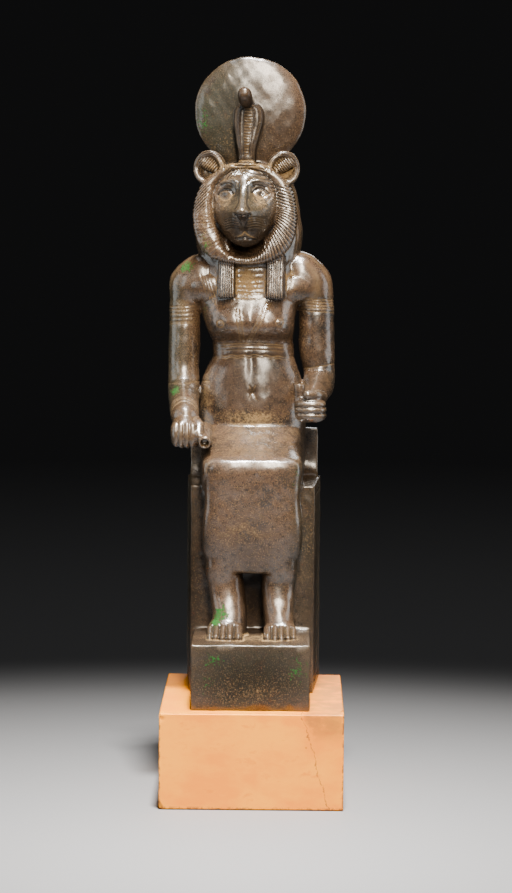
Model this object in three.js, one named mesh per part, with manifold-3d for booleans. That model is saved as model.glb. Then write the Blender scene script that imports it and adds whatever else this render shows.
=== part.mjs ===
// A seated lion-headed goddess in cast bronze, with a sun disc and a rearing cobra on her head, on a block of yellow stone.
// Millimetres, +Z up. She faces -Y, and +X is on the right of someone who looks at her.
// The origin is the middle of the stone's underside.
import * as THREE from "three";
import { mergeVertices } from "three/addons/utils/BufferGeometryUtils.js";
import Module from "manifold-3d";

const wasm = await Module();
wasm.setup();

// Driving dimensions of the stone block.
const PLINTH_WIDTH = 107;
const PLINTH_DEPTH = 146;
const PLINTH_HEIGHT = 56;
const PLINTH_BEVEL = 0.8;
// The bronze stands this far behind the stone's front face.
const FRONT_MARGIN = 11;

// Driving dimensions of the throne and of the footrest in front of it.
const FOOTREST_WIDTH = 69;
const FOOTREST_DEPTH = 65;
const FOOTREST_HEIGHT = 38.5;
const THRONE_FRONT_WIDTH = 74;
const THRONE_BACK_WIDTH = 82;
const THRONE_DEPTH = 67;
const SEAT_HEIGHT = 125;
const BACKREST_HEIGHT = 30;
const BACKREST_THICKNESS = 8;
const EDGE_ROUND = 0.9;
const PANEL_BORDER = 5;
const PANEL_CUT = 0.7;
const PANEL_LINE = 1.3;

// Driving dimensions of the figure. Its carving is drawn as shares of its height above the seat.
const SEATED_HEIGHT = 256;
const KNEE_RISE = 19.5;
const KNEE_REACH = 32;
const DISC_RADIUS = 34.3;
const DISC_THICKNESS = 10;
const DISC_RIM = 4.6;

// One millimetre on a figure that is 256 mm tall above its seat.
const DRAWN_HEIGHT = 256;
const mm = SEATED_HEIGHT / DRAWN_HEIGHT;

// Levels and planes that several forms share.
const plinthTop = PLINTH_HEIGHT;
const soleLevel = plinthTop + FOOTREST_HEIGHT;
const seatLevel = plinthTop + SEAT_HEIGHT;
const kneeLevel = seatLevel + KNEE_RISE;
const shin = kneeLevel - soleLevel;
const footrestFront = -PLINTH_DEPTH / 2 + FRONT_MARGIN;
const throneFront = footrestFront + FOOTREST_DEPTH;
const throneBack = throneFront + THRONE_DEPTH;
const restPlane = throneBack - BACKREST_THICKNESS;
const kneeFront = throneFront - KNEE_REACH;
const thronePlace = -1;

// The figure leans a little to one side above the lap, as a hand-modelled wax does.
const LEAN = 2.6;
const LEAN_START = 9;
const LEAN_RUN = 100;

// How far the midline has moved sideways at a height.
function midline(z) {
  const t = THREE.MathUtils.clamp((z - seatLevel - LEAN_START * mm) / (LEAN_RUN * mm), 0, 1);
  return thronePlace - LEAN * mm * t * t * (3 - 2 * t);
}

// Reads a table of keys at one place. The first column is the place, and the others follow smoothly with no overshoot.
function readKeys(keys, at) {
  const last = keys.length - 1;
  let i = 0;
  while (i < last - 1 && at > keys[i + 1][0]) i++;
  const slope = (k, c) => (keys[k + 1][c] - keys[k][c]) / (keys[k + 1][0] - keys[k][0]);
  const tangent = (k, c) => {
    if (k === 0) return slope(0, c);
    if (k === last) return slope(last - 1, c);
    const before = slope(k - 1, c);
    const after = slope(k, c);
    return before * after <= 0 ? 0 : (2 * before * after) / (before + after);
  };
  const span = keys[i + 1][0] - keys[i][0];
  const t = THREE.MathUtils.clamp((at - keys[i][0]) / span, 0, 1);
  return keys[i].map((value, c) => {
    if (c === 0) return at;
    const t2 = t * t;
    const t3 = t2 * t;
    return (
      (2 * t3 - 3 * t2 + 1) * value +
      (t3 - 2 * t2 + t) * span * tangent(i, c) +
      (3 * t2 - 2 * t3) * keys[i + 1][c] +
      (t3 - t2) * span * tangent(i + 1, c)
    );
  });
}

// The places between the first and the last key, evenly spaced.
function places(keys, count) {
  const first = keys[0][0];
  const last = keys[keys.length - 1][0];
  return Array.from({ length: count }, (_, i) => first + ((last - first) * i) / (count - 1));
}

// One point of a superellipse with half-axes a and b: square 2 is an ellipse, and more is boxier.
function roundedPoint(angle, a, b, square) {
  const c = Math.cos(angle);
  const s = Math.sin(angle);
  const power = 2 / square;
  return [a * Math.sign(c) * Math.abs(c) ** power, b * Math.sign(s) * Math.abs(s) ** power];
}

// A closed skin through rings of points, each end closed by a fan to the middle of its ring.
function skin(rings) {
  const sides = rings[0].length;
  const positions = rings.flatMap((ring) => ring.flatMap((p) => [p.x, p.y, p.z]));
  const index = [];
  for (let i = 0; i < rings.length - 1; i++) {
    for (let j = 0; j < sides; j++) {
      const a = i * sides + j;
      const b = i * sides + ((j + 1) % sides);
      index.push(a, b, b + sides, a, b + sides, a + sides);
    }
  }
  const close = (ring, start, flip) => {
    const middle = ring.reduce((sum, p) => sum.add(p), new THREE.Vector3()).divideScalar(sides);
    const hub = positions.length / 3;
    positions.push(middle.x, middle.y, middle.z);
    for (let j = 0; j < sides; j++) {
      const next = start + ((j + 1) % sides);
      index.push(hub, ...(flip ? [next, start + j] : [start + j, next]));
    }
  };
  close(rings[0], 0, true);
  close(rings[rings.length - 1], (rings.length - 1) * sides, false);
  const geometry = new THREE.BufferGeometry();
  geometry.setAttribute("position", new THREE.Float32BufferAttribute(positions, 3));
  geometry.setIndex(index);
  return geometry;
}

// One level ring, from its height, half-width, front y, back y, squareness and middle x.
function levelRing([z, wide, front, back, square, x = 0], sides) {
  return Array.from({ length: sides }, (_, j) => {
    const [dx, dy] = roundedPoint((2 * Math.PI * (j + 0.5)) / sides, wide, (back - front) / 2, square);
    return new THREE.Vector3(x + dx, (front + back) / 2 + dy, z);
  });
}

// Level rings from keys of [height, half-width, front y, back y, squareness, middle x].
function standing(keys, { count, sides }) {
  return skin(places(keys, count).map((z) => levelRing(readKeys(keys, z), sides)));
}

// Upright rings from keys of [y, half-width, underside, top, squareness], about a given x, from the front backwards.
function reaching(keys, { count, sides, x = 0 }) {
  return skin(
    places(keys, count).map((y) => {
      const [, wide, low, high, square] = readKeys(keys, y);
      return Array.from({ length: sides }, (_, j) => {
        const [dx, dz] = roundedPoint((-2 * Math.PI * (j + 0.5)) / sides, wide, (high - low) / 2, square);
        return new THREE.Vector3(x + dx, y, (low + high) / 2 + dz);
      });
    }),
  );
}

const SIDEWAYS = new THREE.Vector3(1, 0, 0);
const UPWARDS = new THREE.Vector3(0, 0, 1);

// A limb along a curve through [x, y, z, radius], with round ends. The guide is a direction that the curve never takes.
function limb(stations, { steps, sides, guide = SIDEWAYS }) {
  const curve = new THREE.CatmullRomCurve3(stations.map(([x, y, z]) => new THREE.Vector3(x, y, z)), false, "centripetal");
  const radii = stations.map(([, , , r], i) => [i / (stations.length - 1), r]);
  const first = stations[0][3];
  const last = stations[stations.length - 1][3];
  const rings = [];
  const ring = (t, shift, share) => {
    const tangent = curve.getTangent(t);
    const centre = curve.getPoint(t).addScaledVector(tangent, shift);
    const across = guide.clone().addScaledVector(tangent, -guide.dot(tangent)).normalize();
    const through = new THREE.Vector3().crossVectors(tangent, across);
    const radius = readKeys(radii, t)[1] * share;
    rings.push(
      Array.from({ length: sides }, (_, j) => {
        const angle = (2 * Math.PI * j) / sides;
        return centre
          .clone()
          .addScaledVector(across, radius * Math.cos(angle))
          .addScaledVector(through, radius * Math.sin(angle));
      }),
    );
  };
  const dome = [0.8];
  dome.forEach((s) => ring(0, -first * s, Math.sqrt(1 - s * s)));
  for (let i = 0; i <= steps; i++) ring(i / steps, 0, 1);
  dome.reverse().forEach((s) => ring(1, last * s, Math.sqrt(1 - s * s)));
  return skin(rings);
}

// Joins leave no edge shorter than this.
const SHORTEST_EDGE = 0.06;

// The triangles whose three corners differ.
function wholeFaces(index) {
  const kept = [];
  for (let i = 0; i < index.length; i += 3) {
    const [a, b, c] = index.slice(i, i + 3);
    if (a !== b && b !== c && c !== a) kept.push(a, b, c);
  }
  return new Uint32Array(kept);
}

// A geometry as a manifold solid, turned the right way out.
function solid(geometry) {
  const bare = geometry.index ? geometry.toNonIndexed() : geometry.clone();
  Object.keys(bare.attributes).filter((name) => name !== "position").forEach((name) => bare.deleteAttribute(name));
  const merged = mergeVertices(bare, 1e-3);
  const vertProperties = merged.attributes.position.array;
  const make = (triVerts) =>
    new wasm.Manifold(new wasm.Mesh({ numProp: 3, vertProperties, triVerts, tolerance: SHORTEST_EDGE }));
  const faces = wholeFaces(merged.index.array);
  const made = make(faces);
  return made.volume() > 0 ? made : make(faces.map((_, i) => faces[i - (i % 3) + [0, 2, 1][i % 3]]));
}

// Several geometries as one solid.
function joined(geometries) {
  return geometries.map(solid).reduce((whole, piece) => whole.add(piece));
}

// Moves each point sideways by what the midline has moved at its height.
function leaning(geometry) {
  const p = geometry.attributes.position;
  for (let i = 0; i < p.count; i++) p.setX(i, p.getX(i) + midline(p.getZ(i)));
  return geometry;
}

// A block with slightly rounded edges, as an extrusion of its plan.
function block(corners, low, high, round) {
  const plan = new THREE.Shape(corners.map(([x, y]) => new THREE.Vector2(x, y)));
  return new THREE.ExtrudeGeometry(plan, {
    depth: high - low - 2 * round,
    bevelEnabled: true,
    bevelSize: round,
    bevelOffset: -round,
    bevelThickness: round,
    bevelSegments: 1,
  }).translate(0, 0, low + round);
}

function plinthGeometry() {
  const x = PLINTH_WIDTH / 2;
  const y = PLINTH_DEPTH / 2;
  return block([[-x, -y], [x, -y], [x, y], [-x, y]], 0, PLINTH_HEIGHT, PLINTH_BEVEL);
}

// The box seat, wider behind than in front, with its low back and the sunk border on each side.
function throneSolid() {
  const front = THRONE_FRONT_WIDTH / 2;
  const back = THRONE_BACK_WIDTH / 2;
  const seat = block(
    [[-front, throneFront], [front, throneFront], [back, throneBack], [-back, throneBack]],
    plinthTop,
    seatLevel,
    EDGE_ROUND,
  );
  const rise = BACKREST_HEIGHT;
  const cove = Math.min(rise * 0.4, THRONE_DEPTH * 0.2);
  const profile = new THREE.Shape();
  profile.moveTo(throneBack, seatLevel - rise);
  profile.lineTo(throneBack, seatLevel + rise);
  profile.lineTo(restPlane, seatLevel + rise);
  profile.lineTo(restPlane, seatLevel + cove);
  profile.quadraticCurveTo(restPlane, seatLevel, restPlane - cove, seatLevel - EDGE_ROUND);
  profile.lineTo(restPlane - cove, seatLevel - rise);
  const restWidth = THRONE_BACK_WIDTH - 2 * EDGE_ROUND - (THRONE_BACK_WIDTH - THRONE_FRONT_WIDTH) * 0.25;
  const rest = new THREE.ExtrudeGeometry(profile, { depth: restWidth, bevelEnabled: false, curveSegments: 5 })
    .translate(0, 0, -restWidth / 2)
    .applyMatrix4(new THREE.Matrix4().set(0, 0, 1, 0, 1, 0, 0, 0, 0, 1, 0, 0, 0, 0, 0, 1));
  let throne = joined([seat, rest]);
  for (const side of [-1, 1]) {
    for (const cut of panelLines(side)) throne = throne.subtract(solid(cut));
  }
  return throne;
}

// The cuts of one side panel: a border, and the small square that such a throne has low down at the back.
function panelLines(side) {
  const low = plinthTop + PANEL_BORDER;
  const high = seatLevel - PANEL_BORDER;
  const near = throneFront + PANEL_BORDER;
  const far = throneBack - PANEL_BORDER;
  const squareHigh = low + (high - low) * 0.36;
  const squareNear = far - (far - near) * 0.42;
  const turn = Math.atan2((THRONE_BACK_WIDTH - THRONE_FRONT_WIDTH) / 2, THRONE_DEPTH);
  const wall = (y) => (THRONE_FRONT_WIDTH / 2) + (y - throneFront) * Math.tan(turn);
  const bar = (y0, y1, z0, z1) => {
    const middle = (y0 + y1) / 2;
    return new THREE.BoxGeometry(2 * PANEL_CUT, (y1 - y0) / Math.cos(turn), z1 - z0)
      .rotateZ(-side * turn)
      .translate(side * wall(middle), middle, (z0 + z1) / 2);
  };
  return [
    bar(near, far, high - PANEL_LINE, high),
    bar(near, far, low, low + PANEL_LINE),
    bar(near, near + PANEL_LINE, low, high),
    bar(far - PANEL_LINE, far, low, high),
    bar(squareNear, squareNear + PANEL_LINE, low, squareHigh),
    bar(squareNear, far, squareHigh - PANEL_LINE, squareHigh),
  ];
}

function footrestGeometry() {
  const x = FOOTREST_WIDTH / 2;
  const inside = throneFront + 2;
  return block([[-x, footrestFront], [x, footrestFront], [x, inside], [-x, inside]], plinthTop, soleLevel, EDGE_ROUND);
}

// The close-fitting dress over the shins, from its hem to the knees.
function skirtGeometry() {
  const at = (share) => soleLevel + shin * share;
  const inside = throneFront + 3;
  return standing(
    [
      [at(0.345), 26.2 * mm, kneeFront + 7.4, inside, 3],
      [at(0.43), 28 * mm, kneeFront + 5.4, inside + 1, 3.2],
      [at(0.52), 29.8 * mm, kneeFront + 3.8, inside + 1, 3.4],
      [at(0.62), 29.7 * mm, kneeFront + 2.8, inside + 2, 3.6],
      [at(0.76), 28.2 * mm, kneeFront + 1.4, inside + 2, 3.6],
      [at(0.84), 28.5 * mm, kneeFront + 0.7, inside + 3, 3.6],
      [at(0.92), 29.8 * mm, kneeFront, inside + 3, 3.4],
      [at(0.97), 29.2 * mm, kneeFront + 1.6, inside + 3, 3.2],
      [at(1), 26.5 * mm, kneeFront + 6.4, inside, 2.8],
    ],
    { count: 11, sides: 18 },
  );
}

// The two legs aren't alike: half-widths and middles from the foot up into the dress.
const LEG_WIDTHS = { "-1": [10, 9.7, 10, 10, 11], 1: [8.8, 8.7, 9.4, 9.8, 11] };
const LEG_MIDDLES = { "-1": [-12.6, -13.1, -14.7, -16.4, -15], 1: [16.6, 15.3, 14.9, 16, 15] };

// One leg between the foot and the dress.
function ankleGeometry(side) {
  const heel = throneFront + 1;
  const keys = [0.01, 0.13, 0.25, 0.36, 0.5].map((share, i) => [
    soleLevel + shin * share,
    LEG_WIDTHS[side][i] * mm,
    throneFront - [22, 21.5, 22.5, 24.8, 26][i] * mm,
    heel + i * 0.3,
    2.2 + 0.05 * i,
    LEG_MIDDLES[side][i] * mm,
  ]);
  return standing(keys, { count: 6, sides: 12 });
}

// One foot with its five toes. The big toe is on the inner side.
function footGeometries(side) {
  const middle = (side < 0 ? -15.6 : 17) * mm;
  const narrow = side < 0 ? 1 : 0.91;
  const z = (rise) => soleLevel - 0.8 + rise * mm;
  const y = (reach) => throneFront - (reach - (side < 0 ? 0 : 1.5)) * mm;
  const body = reaching(
    [
      [y(43), 10.2 * narrow * mm, z(0), z(4.4), 2.6],
      [y(36), 10.9 * narrow * mm, z(0), z(7.6), 2.4],
      [y(27), 10.0 * narrow * mm, z(0), z(13.5), 2.2],
      [y(18), 8.8 * narrow * mm, z(0), z(21), 2.2],
      [y(6), 8.2 * narrow * mm, z(0), z(20), 2.3],
      [y(-1), 7.6 * narrow * mm, z(0), z(14), 2.3],
    ],
    { count: 6, sides: 10, x: middle },
  );
  const widths = [5.4, 4.3, 4.1, 3.9, 3.6];
  const reaches = [50.2, 50.6, 49.6, 48, 45.8];
  let edge = -10.8;
  const toes = widths.map((width, i) => {
    const centre = middle + side * (edge + width / 2) * narrow * mm;
    edge += width;
    const r = (width / 2) * 1.04 * narrow * mm;
    return limb(
      [
        [centre, y(reaches[i]) + r, z(2.5), r * 0.9],
        [centre, y(reaches[i] - 4.5), z(3.1), r],
        [centre, y(37), z(5.6), r],
      ],
      { steps: 2, sides: 6 },
    );
  });
  return [body, ...toes];
}

// The thighs under the dress, rising from the knees to the belly.
function lapGeometry() {
  const knee = kneeFront + 8;
  const hip = restPlane - 2;
  const y = (share) => knee + (hip - knee) * share;
  const z = (rise) => seatLevel + rise * mm;
  const low = seatLevel - 8;
  return reaching(
    [
      [y(0), 27.5 * mm, low, kneeLevel - 1, 3.6],
      [y(0.12), 29.6 * mm, low, kneeLevel + 1.6, 4],
      [y(0.33), 30.6 * mm, low, z(29.5), 4],
      [y(0.55), 31.4 * mm, low, z(38), 3.4],
      [y(0.75), 32 * mm, low, z(42), 2.8],
      [y(0.9), 31.8 * mm, low, z(38), 2.6],
      [y(1), 29 * mm, low, z(28), 2.5],
    ],
    { count: 8, sides: 20, x: -0.6 * mm },
  );
}

// Hips, waist, chest and neck. The last column is how far the middle lies to one side.
const torsoKeys = [
  [3, 31.6, 41, 1, 2.6, -0.8],
  [24, 32, 44, 0, 2.5, -0.8],
  [41, 32.6, 44.5, 1, 2.4, -0.4],
  [57, 31.2, 44, 3, 2.3, 0],
  [69, 27.2, 42, 6, 2.2, 0.5],
  [76, 24.4, 40, 7, 2.2, 1.3],
  [83, 24.2, 39, 7, 2.2, 1.1],
  [91, 26.2, 39.5, 6, 2.2, 0],
  [99, 28, 40.5, 5, 2.3, -0.8],
  [108, 30, 41, 3, 2.4, -0.8],
  [117, 33, 39.5, 2, 2.4, 0],
  [127, 32, 36, 2, 2.3, 0],
  [134, 25, 37, 4, 2.2, 0],
  [141, 17, 41, 7, 2, 0],
  [156, 15, 38, 7, 2, 0],
];

// A torso key in millimetres: heights above the seat, and depths forward of the low back.
function torsoRow([rise, wide, front, back, square, x]) {
  return [seatLevel + rise * mm, wide * mm, restPlane - front * mm, restPlane - back * mm, square, x * mm];
}

function torsoGeometry() {
  return standing(torsoKeys.map(torsoRow), { count: 13, sides: 22 });
}

// A raised band round the torso between two heights.
function beltGeometry() {
  const proud = 0.7 * mm;
  const rows = torsoKeys.map(torsoRow);
  const band = [75.6, 76.2, 83.6, 84.2].map((rise, i) => {
    const [z, wide, front, back, square, x] = readKeys(rows, seatLevel + rise * mm);
    const out = i === 1 || i === 2 ? proud : -proud;
    return [z, wide + out, front - out, back + out, square, x];
  });
  return skin(band.map((row) => levelRing(row, 22)));
}

function breastGeometry(side) {
  return new THREE.SphereGeometry(1, 12, 8)
    .scale(13.2 * mm, 10 * mm, 13 * mm)
    .translate((side * 14.3 + 0.2) * mm, restPlane - 34 * mm, seatLevel + 99 * mm);
}

// Stations of each arm in [outwards, forward of the low back, above the seat, radius]. The two aren't alike.
const restingArm = [
  [30, 21, 123.6, 13.6],
  [35.8, 21.5, 119, 12.7],
  [39.2, 22, 107, 9.9],
  [40, 22.5, 96, 9.4],
  [40.5, 22.6, 82, 9.6],
  [41.3, 23.2, 67, 9.4],
  [41.5, 29, 55, 9.5],
  [41.3, 42, 50, 9.3],
  [40.6, 56, 44.6, 8.8],
  [40, 64, 41.4, 8.3],
];
const raisedArm = [
  [30, 21, 125, 14],
  [36.4, 21.5, 119.6, 13],
  [39.6, 22, 107, 10.8],
  [39.8, 22.5, 94, 10.7],
  [39.8, 22.6, 81, 10.6],
  [40.8, 23.5, 66, 9.5],
  [40.4, 28.5, 59.6, 9.4],
  [38.6, 40, 56.6, 8.7],
  [37, 54, 53.5, 7.6],
  [36, 61, 51.5, 7],
];

// A station of an arm in millimetres, on one side of the figure.
function station(side, [out, forward, rise, radius]) {
  return [side * out * mm, restPlane - forward * mm, seatLevel + rise * mm, radius * mm];
}

function armGeometry(side, rows) {
  return limb(rows.map((row) => station(side, row)), { steps: 12, sides: 12 });
}

// A fist as one form with a crease between each two fingers, as rings of [across, half-depth, half-height] shares.
const FINGER_PROFILE = [
  [0, 0.62],
  [0.05, 0.84],
  [0.13, 0.96],
  [0.25, 0.86],
  [0.375, 1],
  [0.5, 0.89],
  [0.625, 1],
  [0.75, 0.87],
  [0.87, 0.94],
  [0.96, 0.84],
  [1, 0.7],
];

// The fist on the lap: its back is up, and its fingers turn down in front.
function loweredFist() {
  const [outer, z] = [48.4, 31.8];
  const width = 17.2;
  const y = restPlane - 70.6 * mm;
  const rings = FINGER_PROFILE.map(([share, swell]) =>
    Array.from({ length: 12 }, (_, j) => {
      const [dy, dz] = roundedPoint((2 * Math.PI * (j + 0.5)) / 12, 8.4 * swell * mm, 8.6 * swell * mm, 2.5);
      return new THREE.Vector3((-outer + width * share) * mm, y + dy - 1.6 * mm * share, seatLevel + z * mm + dz);
    }),
  );
  const at = (out, forward, rise, radius) => station(-1, [out, forward, rise, radius]);
  const back = limb([at(39.8, 62, 41.5, 7.2), at(40, 70, 35, 7.7)], { steps: 2, sides: 10 });
  return [skin(rings), back];
}

// What is left of the thing that the lowered fist held: a rod along the thigh, with a socket in its end.
const ROD_RADIUS = 3.9;
const ROD_SOCKET = 2.5;
const ROD_SOCKET_DEPTH = 4;
function rodGeometry() {
  const end = new THREE.Vector3(-28.2 * mm, restPlane - 82 * mm, seatLevel + 27.2 * mm);
  const along = new THREE.Vector3(0.02, 24, 7).normalize();
  const across = SIDEWAYS.clone().addScaledVector(along, -along.x).normalize();
  const up = new THREE.Vector3().crossVectors(across, along);
  const stations = [
    [26, ROD_RADIUS],
    [1.2, ROD_RADIUS],
    [0, ROD_RADIUS - 0.9],
    [0, ROD_SOCKET],
    [ROD_SOCKET_DEPTH, ROD_SOCKET - 0.3],
  ];
  return skin(
    stations.map(([back, radius]) =>
      Array.from({ length: 12 }, (_, j) => {
        const angle = (2 * Math.PI * j) / 12;
        return end
          .clone()
          .addScaledVector(along, back * mm)
          .addScaledVector(across, radius * Math.cos(angle) * mm)
          .addScaledVector(up, radius * Math.sin(angle) * mm);
      }),
    ),
  );
}

// The raised fist: thumb above, fingers across, round the stump of a staff.
function raisedFist() {
  const low = 39.2;
  const height = 14.8;
  const rings = FINGER_PROFILE.map(([share, swell]) =>
    Array.from({ length: 12 }, (_, j) => {
      const [dx, dy] = roundedPoint((2 * Math.PI * (j + 0.5)) / 12, 9.5 * swell * mm, 9.2 * swell * mm, 2.5);
      const z = seatLevel + (low + height * share) * mm;
      return new THREE.Vector3(34.8 * mm + dx, restPlane - 67.4 * mm + dy, z);
    }),
  );
  const at = (out, forward, rise, radius) => station(1, [out, forward, rise, radius]);
  const back = limb([at(36.4, 56, 52.2, 7.3), at(35.8, 66, 47.4, 8)], { steps: 2, sides: 10 });
  const thumb = limb([at(42, 62, 54, 3.4), at(38.4, 70.4, 55.8, 3.2), at(33.4, 73.4, 55.6, 2.9)], {
    steps: 3,
    sides: 6,
    guide: UPWARDS,
  });
  const staff = limb([at(28.6, 66.5, 44, 3), at(28.4, 66.5, 60, 3)], { steps: 1, sides: 10 });
  return [skin(rings), back, thumb, staff];
}

// The head is placed in a group of its own: a little to one side, and turned by a small angle.
const HEAD_SHIFT = -2.4;
const HEAD_TURN = THREE.MathUtils.degToRad(-5);
const headPivot = 31;
const inHead = (geometry) =>
  geometry
    .scale(mm, mm, mm)
    .rotateZ(HEAD_TURN)
    .translate(HEAD_SHIFT * mm, restPlane - headPivot * mm, seatLevel);

// The wig over the crown, the sides and the back of the neck. Heights are above the seat, depths from the head's pivot.
function wigGeometry() {
  return inHead(
    standing(
      [
        [101, 15, 23, 31, 3],
        [106, 19, 18, 33, 3],
        [118, 23, 4, 34.5, 2.8],
        [126, 26.4, -6, 35, 2.6],
        [136, 30.4, -8.5, 36, 2.5],
        [150, 32.6, -9, 36.5, 2.4],
        [161, 31, -9, 36, 2.3],
        [172, 29.2, -9, 34.4, 2.2],
        [181, 26.2, -8, 32, 2.2],
        [187, 21.5, -6, 28, 2.1],
        [190.6, 15.5, -3, 23, 2],
        [192.6, 8, 3, 16, 2],
      ],
      { count: 9, sides: 16 },
    ),
  );
}

// The ring of mane round the face: an oval line, thick at the cheeks, thin under the chin, with combed locks.
const MANE_LOCKS = 36;
const maneCentre = 165.5;
function maneGeometry() {
  const rings = [];
  const turns = MANE_LOCKS * 2;
  for (let i = 0; i < turns; i++) {
    const angle = (2 * Math.PI * i) / turns;
    const up = Math.sin(angle);
    const tall = up > 0 ? 25.2 : 31.8;
    const [, wide, thick, forward] = readKeys(
      [
        [-1, 1.8, 3.4, 13.2],
        [-0.9, 3.4, 5, 13],
        [-0.55, 6.6, 6.8, 11.8],
        [-0.2, 6.4, 7, 11],
        [0, 5.7, 6.6, 10.5],
        [0.35, 4.4, 5.4, 10],
        [0.7, 2.8, 4, 10],
        [1, 2.2, 3.4, 10.5],
      ],
      up,
    );
    const lock = i % 2 ? 0.93 : 1.03;
    const [across, rise] = roundedPoint(angle, 25.4, tall, up > 0 ? 2 : 2.35);
    const line = new THREE.Vector3(across, -forward, maneCentre + rise);
    const outwards = new THREE.Vector3(Math.cos(angle) / 26, 0, up / tall).normalize();
    rings.push(
      Array.from({ length: 6 }, (_, j) => {
        const turn = (2 * Math.PI * (j + 0.5)) / 6;
        return line
          .clone()
          .addScaledVector(outwards, wide * lock * Math.cos(turn))
          .add(new THREE.Vector3(0, thick * lock * Math.sin(turn), 0));
      }),
    );
  }
  return inHead(closedRing(rings));
}

// A closed skin through rings that follow each other round and meet again.
function closedRing(rings) {
  const sides = rings[0].length;
  const geometry = new THREE.BufferGeometry();
  const positions = rings.flatMap((ring) => ring.flatMap((p) => [p.x, p.y, p.z]));
  const index = [];
  rings.forEach((_, i) => {
    const here = i * sides;
    const next = ((i + 1) % rings.length) * sides;
    for (let j = 0; j < sides; j++) {
      const k = (j + 1) % sides;
      index.push(here + j, here + k, next + k, here + j, next + k, next + j);
    }
  });
  geometry.setAttribute("position", new THREE.Float32BufferAttribute(positions, 3));
  geometry.setIndex(index);
  return geometry;
}

// A smooth bump of height 1 at the middle of an oval, flatter on top where flat is more than 2.
const bump = (u, v, wide, tall, flat = 2) => Math.exp(-(Math.abs(u / wide) ** flat) - Math.abs(v / tall) ** flat);

// How far the lioness's face stands forward of its back plane, at u sideways and v above the nose.
function faceDepth(u, v) {
  const side = Math.abs(u);
  const skull = 13 - 0.011 * u * u - (v > 12 ? 0.01 : 0.006) * (v - 12) ** 2;
  const line = THREE.MathUtils.clamp(v, -8, 22);
  const bridge = readKeys([[-8, 0], [-3, 0.8], [1, 2.4], [6, 6], [11, 5], [16, 2.2], [22, 0]], line)[1];
  const ridge = bridge * Math.exp(-((u / 4.8) ** 2));
  const muzzle = 17.5 * bump(u, v + 6, 12.8, 11, 3.2);
  const nose = 1.6 * bump(u, v - 0.4, 4.6, 2.8, 3);
  const chin = 10 * bump(u, v + 19, 8, 4.6, 2.6);
  const mouth = -1.5 * Math.exp(-(((v + 15) / 1.5) ** 2)) * bump(u, 0, 9.5, 1, 4);
  const cheek = 3 * bump(side - 14, v + 1, 5.5, 7);
  const socket = -3.2 * bump(side - 11, v - 9.4, 6.4, 4.8);
  const brow = 1.6 * bump(side - 9.5, v - 16.6, 7, 2.4);
  return skull + ridge + muzzle + nose + chin + mouth + cheek + socket + brow;
}

// The deep hollow between chin and mane, cut into wig and neck before mane and face are joined to them.
function throatGeometry() {
  return inHead(new THREE.SphereGeometry(1, 10, 6).rotateX(Math.PI / 2).scale(11, 13, 9).translate(0.4, -10, 144.8));
}

// The face as a round grid of heights, closed by a flat back.
const FACE_WIDE = 20.6;
const FACE_TOP = 20.4;
const FACE_CHIN = 27;
const faceCentre = 168.4;
const noseLevel = 164.3;
const faceBack = -6.5;
function faceGeometry() {
  const spokes = 32;
  const shares = [0.985, 0.88, 0.76, 0.65, 0.54, 0.43, 0.31, 0.17];
  const outline = (angle, share) => {
    const up = Math.sin(angle);
    const taper = up < 0 ? 1 - 0.18 * up * up : 1;
    return [FACE_WIDE * Math.cos(angle) * share * taper, (up > 0 ? FACE_TOP : FACE_CHIN) * up * share];
  };
  const ring = (share, depth) =>
    Array.from({ length: spokes }, (_, j) => {
      const [u, w] = outline((2 * Math.PI * j) / spokes, share);
      const v = w + faceCentre - noseLevel;
      const wall = Math.sqrt(Math.max(0, 1 - share ** 10));
      return new THREE.Vector3(u, faceBack - (depth ?? wall * faceDepth(u, v)), faceCentre + w);
    });
  return inHead(skin([ring(0.97, -6), ring(1, -6), ...shares.map((share) => ring(share))]));
}

// A round ear, open to the front: a thick rim round a hollow with combed hair.
function earGeometry(side) {
  const profile = [
    [0, -1.4],
    [4, -0.4],
    [5.8, 2.6],
    [7.2, 3.4],
    [8.6, 1.4],
    [7.8, -3],
    [0, -8],
  ].map(([r, h]) => new THREE.Vector2(r, h));
  return inHead(
    new THREE.LatheGeometry(profile, 12)
      .rotateX(Math.PI)
      .scale(1.2, 1, 1.28)
      .rotateZ(side * 0.3)
      .translate(side * 22, -6, 188.8),
  );
}

// One lappet of the wig on the chest, fluted from top to bottom.
const LAPPET_FLUTES = 6;
const LAPPET_OUT = 14.6;
const LAPPET_SHIFT = 3.6;
function lappetGeometry(side) {
  const half = 5.4;
  const steps = LAPPET_FLUTES * 2;
  const section = (wide, front, back) => {
    const points = [];
    for (let i = 0; i <= steps; i++) {
      const t = (2 * i) / steps - 1;
      const groove = i % 2 ? 0 : 0.45;
      points.push([wide * t, front + groove + 2.4 * t * t]);
    }
    points.push([wide, back], [-wide, back]);
    return points.reverse();
  };
  const rows = [
    [111.6, half, -13.2, -4],
    [112.4, half + 0.2, -14, -4],
    [124, half, -14.2, -2],
    [139, half - 0.4, -13, 2],
  ];
  return inHead(
    skin(
      rows.map(([z, wide, front, back]) =>
        section(wide, front, back).map(([x, y]) => new THREE.Vector3(side * LAPPET_OUT + LAPPET_SHIFT + x, y, z)),
      ),
    ),
  );
}

// The sun disc, thicker in the middle than at its rim, standing on the crown.
const discRise = 222.4;
function discGeometry() {
  const edge = DISC_RIM / 2;
  const swell = (DISC_THICKNESS - DISC_RIM) / 2;
  const profile = [];
  for (const share of [0, 0.6, 0.93]) profile.push([share * DISC_RADIUS, edge + swell * (1 - share * share)]);
  profile.push([DISC_RADIUS * 0.985, edge * 0.6]);
  const mirrored = [...profile].reverse().map(([r, h]) => [r, -h]);
  return new THREE.LatheGeometry([...profile, [DISC_RADIUS, 0], ...mirrored].map(([r, h]) => new THREE.Vector2(r, h)), 32)
    .translate(-1 * mm, restPlane - 24 * mm, seatLevel + discRise * mm);
}

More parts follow.
